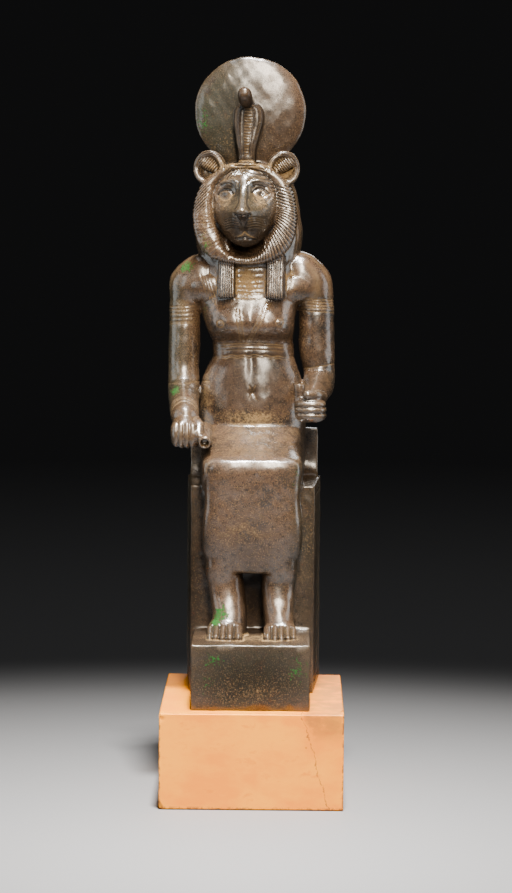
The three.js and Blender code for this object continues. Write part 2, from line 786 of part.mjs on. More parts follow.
// The rearing cobra: a spread hood in front of the disc, and a head that reaches forward over it.
function cobraGeometries() {
  const hood = standing(
    [
      [189, 6.4, -9, 4, 2.4, 0],
      [194, 4.8, -8.5, 3.6, 2.4, 0],
      [200, 5.2, -9, 3.2, 2.4, 0.1],
      [206, 6.4, -9, 3.2, 2.4, 0.3],
      [213, 7.8, -8, 3.4, 2.2, 0.6],
      [219, 8.6, -7.4, 3.6, 2.2, 0.9],
      [224, 7.6, -7, 3.8, 2.2, 0.9],
      [227, 4.8, -7, 4, 2.2, 0.6],
    ],
    { count: 8, sides: 12 },
  );
  const head = reaching(
    [
      [-22, 2.4, 227.6, 232.6, 2.2],
      [-20.6, 3.9, 226.4, 235.4, 2.3],
      [-15, 4.4, 226, 237, 2.3],
      [-8, 4, 225, 236.4, 2.2],
      [-1, 3, 224, 232.5, 2],
      [4, 2.4, 222, 229, 2],
    ],
    { count: 6, sides: 8 },
  );
  return [hood, head].map(inHead);
}

function bronzeSolid() {
  const sides = [-1, 1];
  const core = joined([skirtGeometry(), lapGeometry(), torsoGeometry(), wigGeometry()].map(leaning));
  const rest = joined(
    [
      beltGeometry(),
      discGeometry(),
      ...sides.flatMap((side) => [ankleGeometry(side), ...footGeometries(side), breastGeometry(side)]),
      armGeometry(-1, restingArm),
      armGeometry(1, raisedArm),
      ...loweredFist(),
      rodGeometry(),
      ...raisedFist(),
      maneGeometry(),
      faceGeometry(),
      ...sides.flatMap((side) => [earGeometry(side), lappetGeometry(side)]),
      ...cobraGeometries(),
    ].map(leaning),
  );
  const body = core.subtract(solid(leaning(throatGeometry()))).add(rest);
  const seat = joined([footrestGeometry()]).add(throneSolid()).translate([thronePlace, 0, 0]);
  return body.add(seat);
}

// A manifold solid as a three.js geometry.
function asGeometry(made) {
  const mesh = made.getMesh();
  const geometry = new THREE.BufferGeometry();
  geometry.setAttribute("position", new THREE.Float32BufferAttribute(mesh.vertProperties, 3));
  geometry.setIndex(new THREE.BufferAttribute(mesh.triVerts, 1));
  geometry.computeVertexNormals();
  return geometry;
}

const statue = new THREE.Group();

const bronze = new THREE.Mesh(
  asGeometry(bronzeSolid()),
  new THREE.MeshStandardMaterial({ color: 0x4a382b, roughness: 0.36, metalness: 0.9 }),
);
bronze.name = "bronze_goddess";
statue.add(bronze);

const plinth = new THREE.Mesh(
  plinthGeometry(),
  new THREE.MeshStandardMaterial({ color: 0xe8954e, roughness: 0.45, metalness: 0 }),
);
plinth.name = "stone_plinth";
statue.add(plinth);

export default statue;
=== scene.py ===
"""Looks of a seated lion-headed goddess in cast bronze, on a block of honey-orange marble.

Forms are worked out in millimetres in the frame of the part: +Z is up, the goddess faces -Y, and +X is on
the right of someone who looks at her. They become metres when a mesh is made.
"""

from __future__ import annotations

import logging
import math
from collections.abc import Sequence
from dataclasses import dataclass, field
from enum import Enum

import bpy
import numpy as np
from mathutils import Matrix, Vector

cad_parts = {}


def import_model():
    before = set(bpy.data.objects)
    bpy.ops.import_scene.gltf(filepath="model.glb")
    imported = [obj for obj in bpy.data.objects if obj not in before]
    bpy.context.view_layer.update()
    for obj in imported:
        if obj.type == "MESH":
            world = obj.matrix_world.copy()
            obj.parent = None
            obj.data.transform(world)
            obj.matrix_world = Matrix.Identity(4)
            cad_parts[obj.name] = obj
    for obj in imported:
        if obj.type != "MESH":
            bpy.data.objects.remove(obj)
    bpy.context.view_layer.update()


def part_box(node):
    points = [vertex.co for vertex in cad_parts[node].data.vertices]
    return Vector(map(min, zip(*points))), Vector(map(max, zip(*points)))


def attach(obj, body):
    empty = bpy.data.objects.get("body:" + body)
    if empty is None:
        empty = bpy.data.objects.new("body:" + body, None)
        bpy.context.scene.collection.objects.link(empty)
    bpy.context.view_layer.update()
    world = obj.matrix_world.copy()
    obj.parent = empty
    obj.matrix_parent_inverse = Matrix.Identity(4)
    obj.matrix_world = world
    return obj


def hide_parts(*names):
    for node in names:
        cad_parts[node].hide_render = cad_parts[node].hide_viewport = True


Array = np.ndarray
Rows = Sequence[Sequence[float]]
METRES = 0.001
SIDES = (-1, 1)
LOG = logging.getLogger("goddess")


def ease(low: float, high: float, value: Array) -> Array:
    """Cubic step of a value: 0 below low, 1 above high, smooth between them."""
    t = np.clip((value - low) / (high - low), 0, 1)
    return t * t * (3 - 2 * t)


def bell(distance: Array, width: float) -> Array:
    """Bell curve exp(-(distance / width)^2)."""
    return np.exp(-((distance / width) ** 2))


def mound(u: Array, v: Array, wide: float, tall: float, flat: float = 2) -> Array:
    """Oval mound exp(-|u/wide|^flat - |v/tall|^flat): round on top at 2, flatter above it."""
    return np.exp(-(np.abs(u / wide) ** flat) - np.abs(v / tall) ** flat)


def angles(sides: int, offset: float = 0.0) -> Array:
    """Angles once round, one for each side, the first one this share of a side along."""
    return 2 * math.pi * (np.arange(sides) + offset) / sides


def keyed(keys: Rows, at: Array) -> Array:
    """Smooth columns of a table of keys, as cubic pieces whose slopes never overshoot.

    Args:
        keys: rows whose first column is the place.
        at: places to read.

    Returns:
        One row for each place.
    """
    table = np.asarray(keys, float)
    at = np.asarray(at, float)
    place = table[:, 0]
    span = np.diff(place)
    slope = np.diff(table, axis=0) / span[:, None]
    before, after = slope[:-1], slope[1:]
    total = np.where(np.abs(before + after) < 1e-12, 1, before + after)
    tangent = np.empty_like(table)
    tangent[0], tangent[-1] = slope[0], slope[-1]
    tangent[1:-1] = np.where(before * after > 0, 2 * before * after / total, 0)
    i = np.clip(np.searchsorted(place, at, side="right") - 1, 0, len(span) - 1)
    t = np.clip((at - place[i]) / span[i], 0, 1)[..., None]
    h = span[i][..., None]
    rise = t * t * (3 - 2 * t)
    out = (t**3 - 2 * t**2 + t) * h * tangent[i] + (t**3 - t**2) * h * tangent[i + 1]
    return out + (1 - rise) * table[i] + rise * table[i + 1]


def superellipse(angle: Array, a: Array, b: Array, square: Array) -> tuple[Array, Array]:
    """Points a*sgn(cos)|cos|^(2/square), b*sgn(sin)|sin|^(2/square): 2 is an ellipse, more is boxier."""
    c, s, power = np.cos(angle), np.sin(angle), 2 / np.asarray(square)
    return a * np.sign(c) * np.abs(c) ** power, b * np.sign(s) * np.abs(s) ** power


def spline(points: Rows, steps: int = 10) -> Array:
    """Centripetal Catmull-Rom curve through points, with steps places on each span."""
    return spline_at(points, np.linspace(0, 1, steps * (len(points) - 1) + 1))


def spline_at(points: Rows, share: Array) -> Array:
    """Places on the centripetal Catmull-Rom curve, each span taking an equal part of the shares 0 to 1."""
    p = np.asarray(points, float)
    p = np.vstack([2 * p[0] - p[1], p, 2 * p[-1] - p[-2]])
    x = np.asarray(share) * (len(p) - 3)
    i = np.clip(np.floor(x).astype(int), 0, len(p) - 4)
    w = (x - i)[:, None]
    p0, p1, p2, p3 = p[i], p[i + 1], p[i + 2], p[i + 3]
    d0, d1, d2 = (np.linalg.norm(b - a, axis=1)[:, None] ** 0.5 for a, b in ((p0, p1), (p1, p2), (p2, p3)))
    out1 = ((p1 - p0) / d0 - (p2 - p0) / (d0 + d1) + (p2 - p1) / d1) * d1
    out2 = ((p2 - p1) / d1 - (p3 - p1) / (d1 + d2) + (p3 - p2) / d2) * d1
    rise = w * w * (3 - 2 * w)
    return (1 - rise) * p1 + rise * p2 + (w**3 - 2 * w**2 + w) * out1 + (w**3 - w**2) * out2


@dataclass
class Shell:
    """A closed skin of triangles, in millimetres."""

    points: Array
    faces: Array

    @classmethod
    def lofted(cls, rings: Array, hubs: Rows | None = None) -> Shell:
        """Skin through rings of points, closed by a fan at each end.

        Args:
            rings: array of rows x sides x 3.
            hubs: middle of the first and of the last fan, or None for the middle of each ring.

        Returns:
            The closed skin.
        """
        rows, sides, _ = rings.shape
        ends = np.array([rings[0].mean(0), rings[-1].mean(0)] if hubs is None else hubs)
        j = np.arange(sides)
        k = (j + 1) % sides
        low = np.stack([np.full(sides, rows * sides), k, j], 1)
        top = (rows - 1) * sides
        high = np.stack([np.full(sides, rows * sides + 1), top + j, top + k], 1)
        faces = np.vstack([cls.walls(rows, sides, False), low, high])
        return cls(np.vstack([rings.reshape(-1, 3), ends]), faces)

    @classmethod
    def looped(cls, rings: Array) -> Shell:
        """Skin through rings that meet again, as a torus does."""
        rows, sides, _ = rings.shape
        return cls(rings.reshape(-1, 3), cls.walls(rows, sides, True))

    @staticmethod
    def walls(rows: int, sides: int, loop: bool) -> Array:
        """Two triangles for each cell between neighbouring rings."""
        i, j = np.meshgrid(np.arange(rows if loop else rows - 1), np.arange(sides), indexing="ij")
        a, b = i * sides + j, i * sides + (j + 1) % sides
        up = ((i + 1) % rows) * sides
        c, d = up + (j + 1) % sides, up + j
        return np.vstack([np.stack(t, -1).reshape(-1, 3) for t in ((a, b, c), (a, c, d))])


def joined(shells: Sequence[Shell]) -> Shell:
    """Several skins in one list of points, still crossing each other."""
    starts = np.cumsum([0] + [len(s.points) for s in shells[:-1]])
    faces = [s.faces + start for s, start in zip(shells, starts)]
    return Shell(np.vstack([s.points for s in shells]), np.vstack(faces))


def standing(keys: Rows, count: int, sides: int, lean: bool = True) -> Shell:
    """Loft of level rings, each a superellipse.

    Args:
        keys: rows of height, half-width, front y, back y, squareness and, where wanted, middle x.
        count: number of rings.
        sides: points on a ring.
        lean: whether the rings follow the leaning midline.

    Returns:
        The closed skin.
    """
    z = np.linspace(keys[0][0], keys[-1][0], count)
    table = keyed(keys, z)
    wide, front, back, square = (table[:, i, None] for i in range(1, 5))
    middle = table[:, 5, None] if table.shape[1] > 5 else 0.0
    x, y = superellipse(angles(sides, 0.5)[None], wide, (back - front) / 2, square)
    place = SIZES.midline(z)[:, None] if lean else 0.0
    rings = np.stack([x + middle + place, y + (front + back) / 2, z[:, None] + 0 * x], -1)
    return Shell.lofted(rings)


def reaching(keys: Rows, count: int, sides: int, x: float = 0.0, lean: bool = True) -> Shell:
    """Loft of upright rings from front to back.

    Args:
        keys: rows of y, half-width, underside, top and squareness.
        count: number of rings.
        sides: points on a ring.
        x: sideways place of the middle.
        lean: whether the rings follow the leaning midline.

    Returns:
        The closed skin.
    """
    y = np.linspace(keys[0][0], keys[-1][0], count)
    table = keyed(keys, y)
    wide, low, high, square = (table[:, i, None] for i in range(1, 5))
    dx, dz = superellipse(-angles(sides, 0.5)[None], wide, (high - low) / 2, square)
    z = dz + (low + high) / 2
    place = SIZES.midline(z) if lean else 0.0
    return Shell.lofted(np.stack([dx + x + place, y[:, None] + 0 * dx, z], -1))


def limb(stations: Rows, steps: int = 40, sides: int = 40, upright: bool = False) -> Shell:
    """Round tube along a curve through rows of x, y, z and radius, with a half ball on each end.

    Args:
        stations: places and radii along the limb, before the midline's lean.
        steps: rings between the two ends.
        sides: points on a ring.
        upright: takes +Z as the guide of the rings in place of +X, for a limb that runs sideways.

    Returns:
        The closed skin.
    """
    rows = np.asarray(stations, float)
    share = np.linspace(0, 1, steps)
    centre = spline_at(rows[:, :3], share)
    along = np.gradient(centre, axis=0)
    along /= np.linalg.norm(along, axis=1)[:, None]
    radius = keyed(np.stack([np.linspace(0, 1, len(rows)), rows[:, 3]], 1), share)[:, 1]
    dome = np.array([0.97, 0.88, 0.72, 0.5, 0.25])
    first, last = (np.repeat(i, len(dome)) for i in (0, steps - 1))
    order = np.concatenate([first, np.arange(steps), last])
    shift = np.concatenate([-dome * radius[0], np.zeros(steps), dome[::-1] * radius[-1]])
    narrowed = np.sqrt(1 - dome**2)
    size = np.concatenate([narrowed, np.ones(steps), narrowed[::-1]]) * radius[order]
    along, centre = along[order], centre[order] + along[order] * shift[:, None]
    guide = np.array([0.0, 0.0, 1.0] if upright else [1.0, 0.0, 0.0])
    across = guide - along * (along @ guide)[:, None]
    across /= np.linalg.norm(across, axis=1)[:, None]
    through = np.cross(along, across)
    angle = angles(sides)
    spoke = across[:, None] * np.cos(angle)[:, None] + through[:, None] * np.sin(angle)[:, None]
    rings = centre[:, None] + spoke * size[:, None, None]
    rings[..., 0] += SIZES.midline(rings[..., 2])
    return Shell.lofted(rings)


@dataclass(frozen=True)
class Sizes:
    """Driving sizes that several pieces share, as in the part's own source."""

    plinth_width: float = 107.0
    plinth_depth: float = 146.0
    plinth_height: float = 56.0
    front_margin: float = 11.0
    footrest_width: float = 69.0
    footrest_depth: float = 65.0
    footrest_height: float = 38.5
    throne_front_width: float = 74.0
    throne_back_width: float = 82.0
    throne_depth: float = 67.0
    seat_height: float = 125.0
    backrest_height: float = 30.0
    backrest_thickness: float = 8.0
    knee_rise: float = 19.5
    knee_reach: float = 32.0
    throne_place: float = -1.0
    lean: float = 2.6

    @property
    def sole(self) -> float:
        """Level of the footrest's top."""
        return self.plinth_height + self.footrest_height

    @property
    def seat(self) -> float:
        """Level of the seat."""
        return self.plinth_height + self.seat_height

    @property
    def knee(self) -> float:
        """Level of the knees."""
        return self.seat + self.knee_rise

    @property
    def footrest_front(self) -> float:
        """The footrest's front plane."""
        return self.front_margin - self.plinth_depth / 2

    @property
    def throne_front(self) -> float:
        """The throne's front plane."""
        return self.footrest_front + self.footrest_depth

    @property
    def throne_back(self) -> float:
        """The throne's back plane."""
        return self.throne_front + self.throne_depth

    @property
    def rest(self) -> float:
        """Front plane of the low back, from which the figure's depths are counted."""
        return self.throne_back - self.backrest_thickness

    @property
    def knee_front(self) -> float:
        """Front plane of the knees."""
        return self.throne_front - self.knee_reach

    def midline(self, z: Array) -> Array:
        """Sideways place of the figure's middle at each height: it leans a little above the lap."""
        start, end = self.seat + 9, self.seat + 109
        return self.throne_place - self.lean * ease(start, end, np.asarray(z, float))


SIZES = Sizes()


@dataclass
class Skin:
    """The dense skin of the melted casting, and the relief that is still to be pushed into it.

    Where it is filled, pale sediment is packed into a line. Where it carries carved shade, a line, a pupil
    or the nose leather is painted dark as shade.
    """

    points: Array
    quads: Array
    height: Array = field(init=False)
    filled: Array = field(init=False)
    carved_shade: Array = field(init=False)
    normals: Array = field(init=False)
    clean_below: float = 0.25
    darkest_depth: float = 0.45

    def __post_init__(self) -> None:
        """Starts with no relief and nothing packed into it."""
        self.filled = np.zeros(len(self.points))
        self.carved_shade = np.zeros(len(self.points))
        self.settle()

    def cut(self, share: Array, depth: float, filled: float = 1.0) -> None:
        """Sinks chased lines.

        Args:
            share: share of the depth that each point takes. It is 1 on a line.
            depth: depth in millimetres. Below 0 it raises a ridge.
            filled: share of the sediment that is packed into the lines. Lines with little of it get painted
                shade, darker the deeper they are.
        """
        self.height -= depth * share
        shown = np.clip(share, 0, 1)
        self.filled = np.maximum(self.filled, shown * filled)
        # Painted shade in lines with little sediment, darker the deeper they are.
        if filled < self.clean_below:
            self.shade_carving(shown * float(np.clip(depth / self.darkest_depth, 0, 1)))

    def shade_carving(self, share: Array) -> None:
        """Paints shade into points by a share."""
        self.carved_shade = np.maximum(self.carved_shade, share)

    def settle(self) -> None:
        """Works out the normals again and clears the relief."""
        p, q = self.points, self.quads
        across = np.cross(p[q[:, 2]] - p[q[:, 0]], p[q[:, 3]] - p[q[:, 1]])
        total = np.stack([self._gather(q.T, across[:, k]) for k in range(3)], 1)
        self.normals = total / np.maximum(np.linalg.norm(total, axis=1)[:, None], 1e-12)
        self.height = np.zeros(len(p))

    def _gather(self, corners: Array, amount: Array) -> Array:
        """Sum at each point of an amount that each face gives to its corners."""
        return sum(np.bincount(c, amount, len(self.points)) for c in corners)

    def relax(self, rounds: int, weight: Array | float) -> None:
        """Moves each point towards the middle of its neighbours, some rounds over."""
        q, n = self.quads, len(self.points)
        a, b = q.ravel(), np.roll(q, -1, 1).ravel()
        degree = np.bincount(a, minlength=n) + np.bincount(b, minlength=n)
        share = np.broadcast_to(weight, n)[:, None]
        for _ in range(rounds):
            p = self.points
            total = np.stack([np.bincount(a, p[b, k], n) + np.bincount(b, p[a, k], n) for k in range(3)], 1)
            self.points = p + share * (total / degree[:, None] - p)
        self.settle()

    def fillet(self, where: Array) -> None:
        """Rounds the sharp inner corners between the melted forms."""
        crease = ease(0.05, 0.2, self.hollows(8)) * where
        self.relax(3, 0.5 * crease)
        self.relax(18, 0.85 * ease(0.03, 0.16, self.hollows(10)) * where)

    def push(self) -> None:
        """Moves each point along its normal by the relief gathered so far."""
        self.points = self.points + self.normals * self.height[:, None]
        self.settle()

    def hollows(self, rounds: int) -> Array:
        """How far each point lies below the smoothed surface, in millimetres: hollows are positive."""
        smooth = Skin(self.points, self.quads)
        smooth.relax(rounds, 0.8)
        return ((smooth.points - self.points) * self.normals).sum(1)


def stroke(plane: Array, line: Rows, width: float, mask: Array | None = None) -> Array:
    """Share of a chased line at each point of a drawing plane: 1 on the line, falling off as a bell.

    Args:
        plane: n x 2 places on the drawing plane.
        line: places that the line runs through, in the same plane.
        width: distance at which the bell has fallen to 1/e.
        mask: share of the line that each point may take, or None for all of it.

    Returns:
        n shares.
    """
    path = spline(line, 8) if len(line) > 2 else np.asarray(line, float)
    low, high = path.min(0) - 2.6 * width, path.max(0) + 2.6 * width
    inside = ((plane > low) & (plane < high)).all(1)
    if mask is not None:
        inside &= mask > 0.01
    near = np.flatnonzero(inside)
    start, run = path[:-1], np.diff(path, axis=0)
    best = np.full(len(near), np.inf)
    for a, ab in zip(start, run):
        away = plane[near] - a
        t = np.clip(away @ ab / max(ab @ ab, 1e-9), 0, 1)
        best = np.minimum(best, ((away - t[:, None] * ab) ** 2).sum(1))
    out = np.zeros(len(plane))
    out[near] = np.exp(-best / width**2)
    return out if mask is None else out * mask


def ripples(phase: Array, sharp: float = 1.6) -> Array:
    """Repeated grooves: 1 at each whole number of the phase, 0 half way between."""
    return (0.5 + 0.5 * np.cos(2 * math.pi * phase)) ** sharp


def undulation(points: Array, size: float, waves: int, seed: int) -> Array:
    """Soft unevenness of unit strength: a sum of sines in directions that a fixed seed draws."""
    rng = np.random.default_rng(seed)
    aim = rng.normal(size=(waves, 3))
    aim *= (rng.uniform(0.6, 1.6, waves) / np.linalg.norm(aim, axis=1))[:, None]
    turn = rng.uniform(0, 2 * math.pi, waves)
    total = np.zeros(len(points))
    for direction, start in zip(aim, turn):
        total += np.sin(points @ direction * (2 * math.pi / size) + start)
    return total * math.sqrt(2 / waves)


@dataclass
class Throne:
    """The box seat with its low back, and the footrest in front of it."""

    overlap: float = 2.0
    panel_border: float = 5.0
    panel_line: float = 1.4
    panel_cut: float = 0.75
    square_tall: float = 0.36
    square_wide: float = 0.42
    back_inset: float = 1.8

    def shells(self) -> list[Shell]:
        """Seat, low back with its cove, and footrest."""
        s = SIZES
        halves = (s.throne_front_width / 2, s.throne_back_width / 2)
        foot = s.footrest_width / 2
        return [
            self._block(halves, (s.throne_front, s.throne_back), s.seat),
            self._low_back(),
            self._block((foot, foot), (s.footrest_front, s.throne_front + self.overlap), s.sole),
        ]

    @staticmethod
    def _block(halves: tuple[float, float], ends: tuple[float, float], top: float) -> Shell:
        """Block on the plinth, from its half-widths and places in front and at the back."""
        (front, back), (near, far) = halves, ends
        plan = [(-front, near), (front, near), (back, far), (-back, far)]
        corners = np.asarray(plan, float) + [SIZES.throne_place, 0]
        levels = (SIZES.plinth_height, top)
        return Shell.lofted(np.stack([np.column_stack([corners, np.full(4, z)]) for z in levels]))

    def _low_back(self) -> Shell:
        """Section with a hollow cove between seat and back, carried across the throne."""
        s = SIZES
        low, high = s.seat - s.backrest_height, s.seat + s.backrest_height
        cove = min(s.backrest_height * 0.4, s.throne_depth * 0.2)
        t = np.linspace(0, 1, 12)[:, None]
        bends = ((s.rest, s.seat + cove), (s.rest, s.seat), (s.rest - cove, s.seat - 0.9))
        start, bend, end = (np.array(place) for place in bends)
        curve = (1 - t) ** 2 * start + 2 * t * (1 - t) * bend + t * t * end
        outside = [(s.throne_back, low), (s.throne_back, high), (s.rest, high)]
        section = np.vstack([outside, curve, [(s.rest - cove, low)]])
        taper = (s.throne_back_width - s.throne_front_width) * 0.25
        half = (s.throne_back_width - self.back_inset - taper) / 2
        ends = (s.throne_place - half, s.throne_place + half)
        rings = np.stack([np.column_stack([np.full(len(section), x), section]) for x in ends])
        return Shell.lofted(rings, [(x, s.throne_back - 2, low + 2) for x in ends])

    def carve(self, skin: Skin) -> None:
        """Sinks the border and the small square of each side panel."""
        s = SIZES
        p, n = skin.points, skin.normals
        side = (np.abs(n[:, 0]) > 0.75) & (p[:, 1] > s.throne_front) & (p[:, 2] < s.seat)
        b, w = self.panel_border, self.panel_line
        low, high = s.plinth_height + b, s.seat - b
        near, far = s.throne_front + b, s.throne_back - b
        top, inner = low + (high - low) * self.square_tall, far - (far - near) * self.square_wide
        bars = [
            (near, far, high - w, high),
            (near, far, low, low + w),
            (near, near + w, low, high),
            (far - w, far, low, high),
            (inner, inner + w, low, top),
            (inner, far, top - w, top),
        ]
        sunk = np.zeros(len(p))
        for y0, y1, z0, z1 in bars:
            edge = np.minimum.reduce([p[:, 1] - y0, y1 - p[:, 1], p[:, 2] - z0, z1 - p[:, 2]])
            sunk = np.maximum(sunk, ease(-0.25, 0.35, edge))
        skin.height -= self.panel_cut * sunk * side


@dataclass
class Figure:
    """Body, arms, legs and feet of the goddess, with what her two hands still hold."""

    # Arms: outwards, forward of the low back, above the seat, radius.
    resting_arm: Rows = (
        (30, 21, 123.6, 13.6),
        (36.4, 21.5, 118.8, 13),
        (39.4, 22, 107, 10),
        (40, 22.5, 96, 9.4),
        (40.5, 22.6, 82, 9.6),
        (41.3, 23.2, 67, 9.4),
        (41.5, 29, 55, 9.5),
        (41.3, 42, 50, 9.3),
        (40.6, 56, 44.6, 8.8),
        (40, 64, 41.4, 8.3),
    )
    raised_arm: Rows = (
        (30, 21, 125, 14),
        (36.4, 21.5, 119.6, 13),
        (39.6, 22, 107, 10.8),
        (39.8, 22.5, 94, 10.7),
        (39.8, 22.6, 81, 10.6),
        (40.8, 23.5, 66, 9.5),
        (40.4, 28.5, 59.6, 9.4),
        (38.6, 40, 56.6, 8.7),
        (37, 54, 53.5, 7.6),
        (36, 61, 51.5, 7),
    )
    # Torso: above the seat, half-width, front and back forward of the low back, squareness, middle.
    torso: Rows = (
        (3, 31.6, 41, 1, 2.6, -0.8),
        (24, 32, 44, 0, 2.5, -0.8),
        (41, 32.6, 44.5, 1, 2.4, -0.4),
        (57, 31.2, 43, 3, 2.6, 0),
        (69, 27.2, 41, 6, 2.8, 0.5),
        (76, 24.4, 39, 7, 2.7, 1.3),
        (83, 24.2, 38.4, 7, 2.5, 1.1),
        (91, 26.2, 39, 6, 2.4, 0),
        (99, 28, 39.5, 5, 2.3, -0.8),
        (108, 30, 40, 3, 2.4, -0.8),
        (117, 33, 39.6, 2, 2.4, 0),
        (127, 32, 39, 2, 2.3, 0),
        (134, 25, 39, 4, 2.2, 0),
        (141, 17, 41, 7, 2, 0),
        (156, 15, 38, 7, 2, 0),
    )
    belt_levels: Sequence[float] = (75.6, 76.2, 83.6, 84.2)
    bosom_out: float = 13.8
    bosom_level: float = 97.5
    bosom_depth: float = 9.2
    # Legs: the left one in the picture first, each at shares of the height from sole to knee.
    leg_middles: tuple[Sequence[float], Sequence[float]] = (
        (-12.8, -13.4, -15.2, -17, -15.6),
        (16.8, 15.7, 15.5, 16.7, 15.8),
    )
    leg_places: tuple[float, ...] = (0.01, 0.13, 0.25, 0.36, 0.5)
    # Shins: share of that height, how far they stand in front of the throne.
    shin_line: Rows = (
        (0.01, 35.4),
        (0.05, 33.8),
        (0.09, 31.4),
        (0.13, 28.8),
        (0.17, 26.5),
        (0.22, 24.4),
        (0.28, 23.5),
        (0.36, 24.8),
        (0.5, 26),
    )
    leg_widths: tuple[Sequence[float], Sequence[float]] = (
        (10.2, 10.2, 10.7, 10.8, 11),
        (9.2, 9.4, 10.3, 10.8, 11),
    )
    # Feet: middle, narrowness, how far back.
    feet: Rows = ((-15.6, 1.0, 0.0), (17.0, 0.91, 1.5))
    toe_widths: Sequence[float] = (5.4, 4.3, 4.1, 3.9, 3.6)
    toe_reaches: Sequence[float] = (50.2, 50.6, 49.6, 48, 45.8)
    left_grooves: Sequence[float] = (0.25, 0.46, 0.67)
    right_grooves: Sequence[float] = (0.385, 0.63, 0.885)
    # Each fist: middle of its first finger as out, forward and rise, length across the fingers, half-sizes.
    lowered_fist: Sequence[float] = (-48.4, 70.6, 31.8, 17.2, 8.4, 8.6)
    raised_fist: Sequence[float] = (34.8, 67.4, 39.2, 14.8, 9.5, 9.2)
    # Back of each hand and its thumb: out, forward, rise, radius.
    lowered_back: Rows = ((39.8, 62, 41.5, 7.2), (40, 70, 35, 7.7))
    lowered_thumb: Rows = ((34.5, 66, 39.5, 3.6), (31.8, 73, 36.5, 3.3), (31.6, 78, 31.5, 2.9))
    raised_back: Rows = ((36.4, 56, 52.2, 7.3), (35.8, 66, 47.4, 8))
    raised_thumb: Rows = ((42, 62, 54, 3.4), (38.4, 70.4, 55.8, 3.2), (33.4, 73.4, 55.6, 2.9))
    rod_end: tuple[float, float, float] = (-28.2, 82, 27.2)
    rod_way: tuple[float, float, float] = (0.02, 24, 7)
    # Outlines of the two stumps: place along the axis, radius.
    rod_section: Rows = ((26, 3.9), (1.2, 3.9), (0.4, 3.6), (0, 3.0), (0.1, 2.6), (1, 2.4), (4, 2.2))
    staff_place: tuple[float, float] = (28.5, 67.5)
    staff_section: Rows = ((43.5, 3.3), (61.4, 3.3), (61.9, 2.9), (61.9, 2.3), (61, 2.0), (57.5, 1.8))
    # Forms of the belly: across, level, half-width, half-height, rise. Lines below are across and level.
    belly_forms: Rows = ((-2.2, 236, 17, 15, 1.1), (-2.6, 254, 2.4, 10, -0.8))
    navel: Sequence[float] = (-1.9, 235.8, 1.8, 1.6, -1.2)
    navel_creases: tuple[Rows, ...] = (((-4, 239.5), (0.6, 231.5)), ((0, 240), (-3.6, 232)))
    collar_levels: Sequence[float] = (310.6, 309.8, 306.4, 303.4, 302.6, 300.2, 297.6, 295.2, 294.4, 291.8)
    straps: tuple[Rows, ...] = (
        ((-12.2, 286), (-11.8, 283.3), (-10.9, 276.1), (-9.3, 265.8)),
        ((-9.6, 286), (-9.4, 283.3), (-8.2, 276.1), (-7.0, 266.4)),
        ((9.4, 290.5), (4.1, 280.5), (-3.0, 266.8)),
        ((6.6, 290.5), (1.1, 279.8), (-5.1, 267.3)),
    )
    dotted: tuple[Rows, ...] = (((-10.6, 284), (-8.4, 267)), ((7.2, 289), (-3.6, 268.5)))
    # Rosettes: across, level, share of sediment in the ring.
    rosettes: Rows = ((-21.5, 276.9, 0.9), (14, 278.2, 0.45))
    # Lines of the belt: level, share of the wave, width, depth, sediment.
    belt_lines: Rows = (
        (264.9, 0, 0.3, 0.32, 0.85),
        (263.4, 0, 0.26, 0.32, 0.85),
        (261.2, 0, 0.28, 0.17, 0.4),
        (257.9, 1, 0.32, 0.32, 0.85),
        (256.6, 1, 0.28, 0.256, 0.68),
    )
    # Lines of the bracelet: place along the wrist, width, share of the depth.
    bracelet: Rows = ((-1.8, 0.4, 1), (1.4, 0.4, 1), (3.4, 0.35, 0.7))
    # Armlets: side, where it starts outwards, middle of its hatched cell, levels of its lines.
    armlets: tuple[tuple[int, float, float, Sequence[float]], ...] = (
        (-1, 33.4, 45, (290.6, 288.6, 286.2, 283.6, 281.2, 280.2)),
        (1, 32.4, 36.5, (291.6, 289.9, 288.1, 286.2, 284.2)),
    )
    # Rings at the elbows: side, level at a place, that place, slope, share of sediment.
    elbow_rings: Rows = ((-1, 241.0, -40, 0.05, 0.3), (1, 249.8, 31, 0.17, 0.8))
    # Folds by the shoulders: places of the first, how far each moves for the next, count, width, sediment.
    folds: tuple[tuple[Rows, Rows, int, float, float], ...] = (
        (((-33.6, 306), (-31.4, 299), (-30, 293)), ((1.9, -1), (1.9, -1), (1.9, -1.5)), 4, 0.34, 0.45),
        (((21.5, 303), (19.3, 296)), ((-1.8, -1), (-1.8, -1)), 3, 0.35, 0.4),
    )

    def shells(self) -> list[Shell]:
        """Every form of the figure below the head."""
        return [
            *self._dress(),
            *self._trunk(),
            *self._legs(),
            self._part_of_arm(-1, self.resting_arm, 130, 72),
            self._part_of_arm(1, self.raised_arm, 130, 72),
            *self._lowered_fist(),
            *self._raised_fist(),
        ]

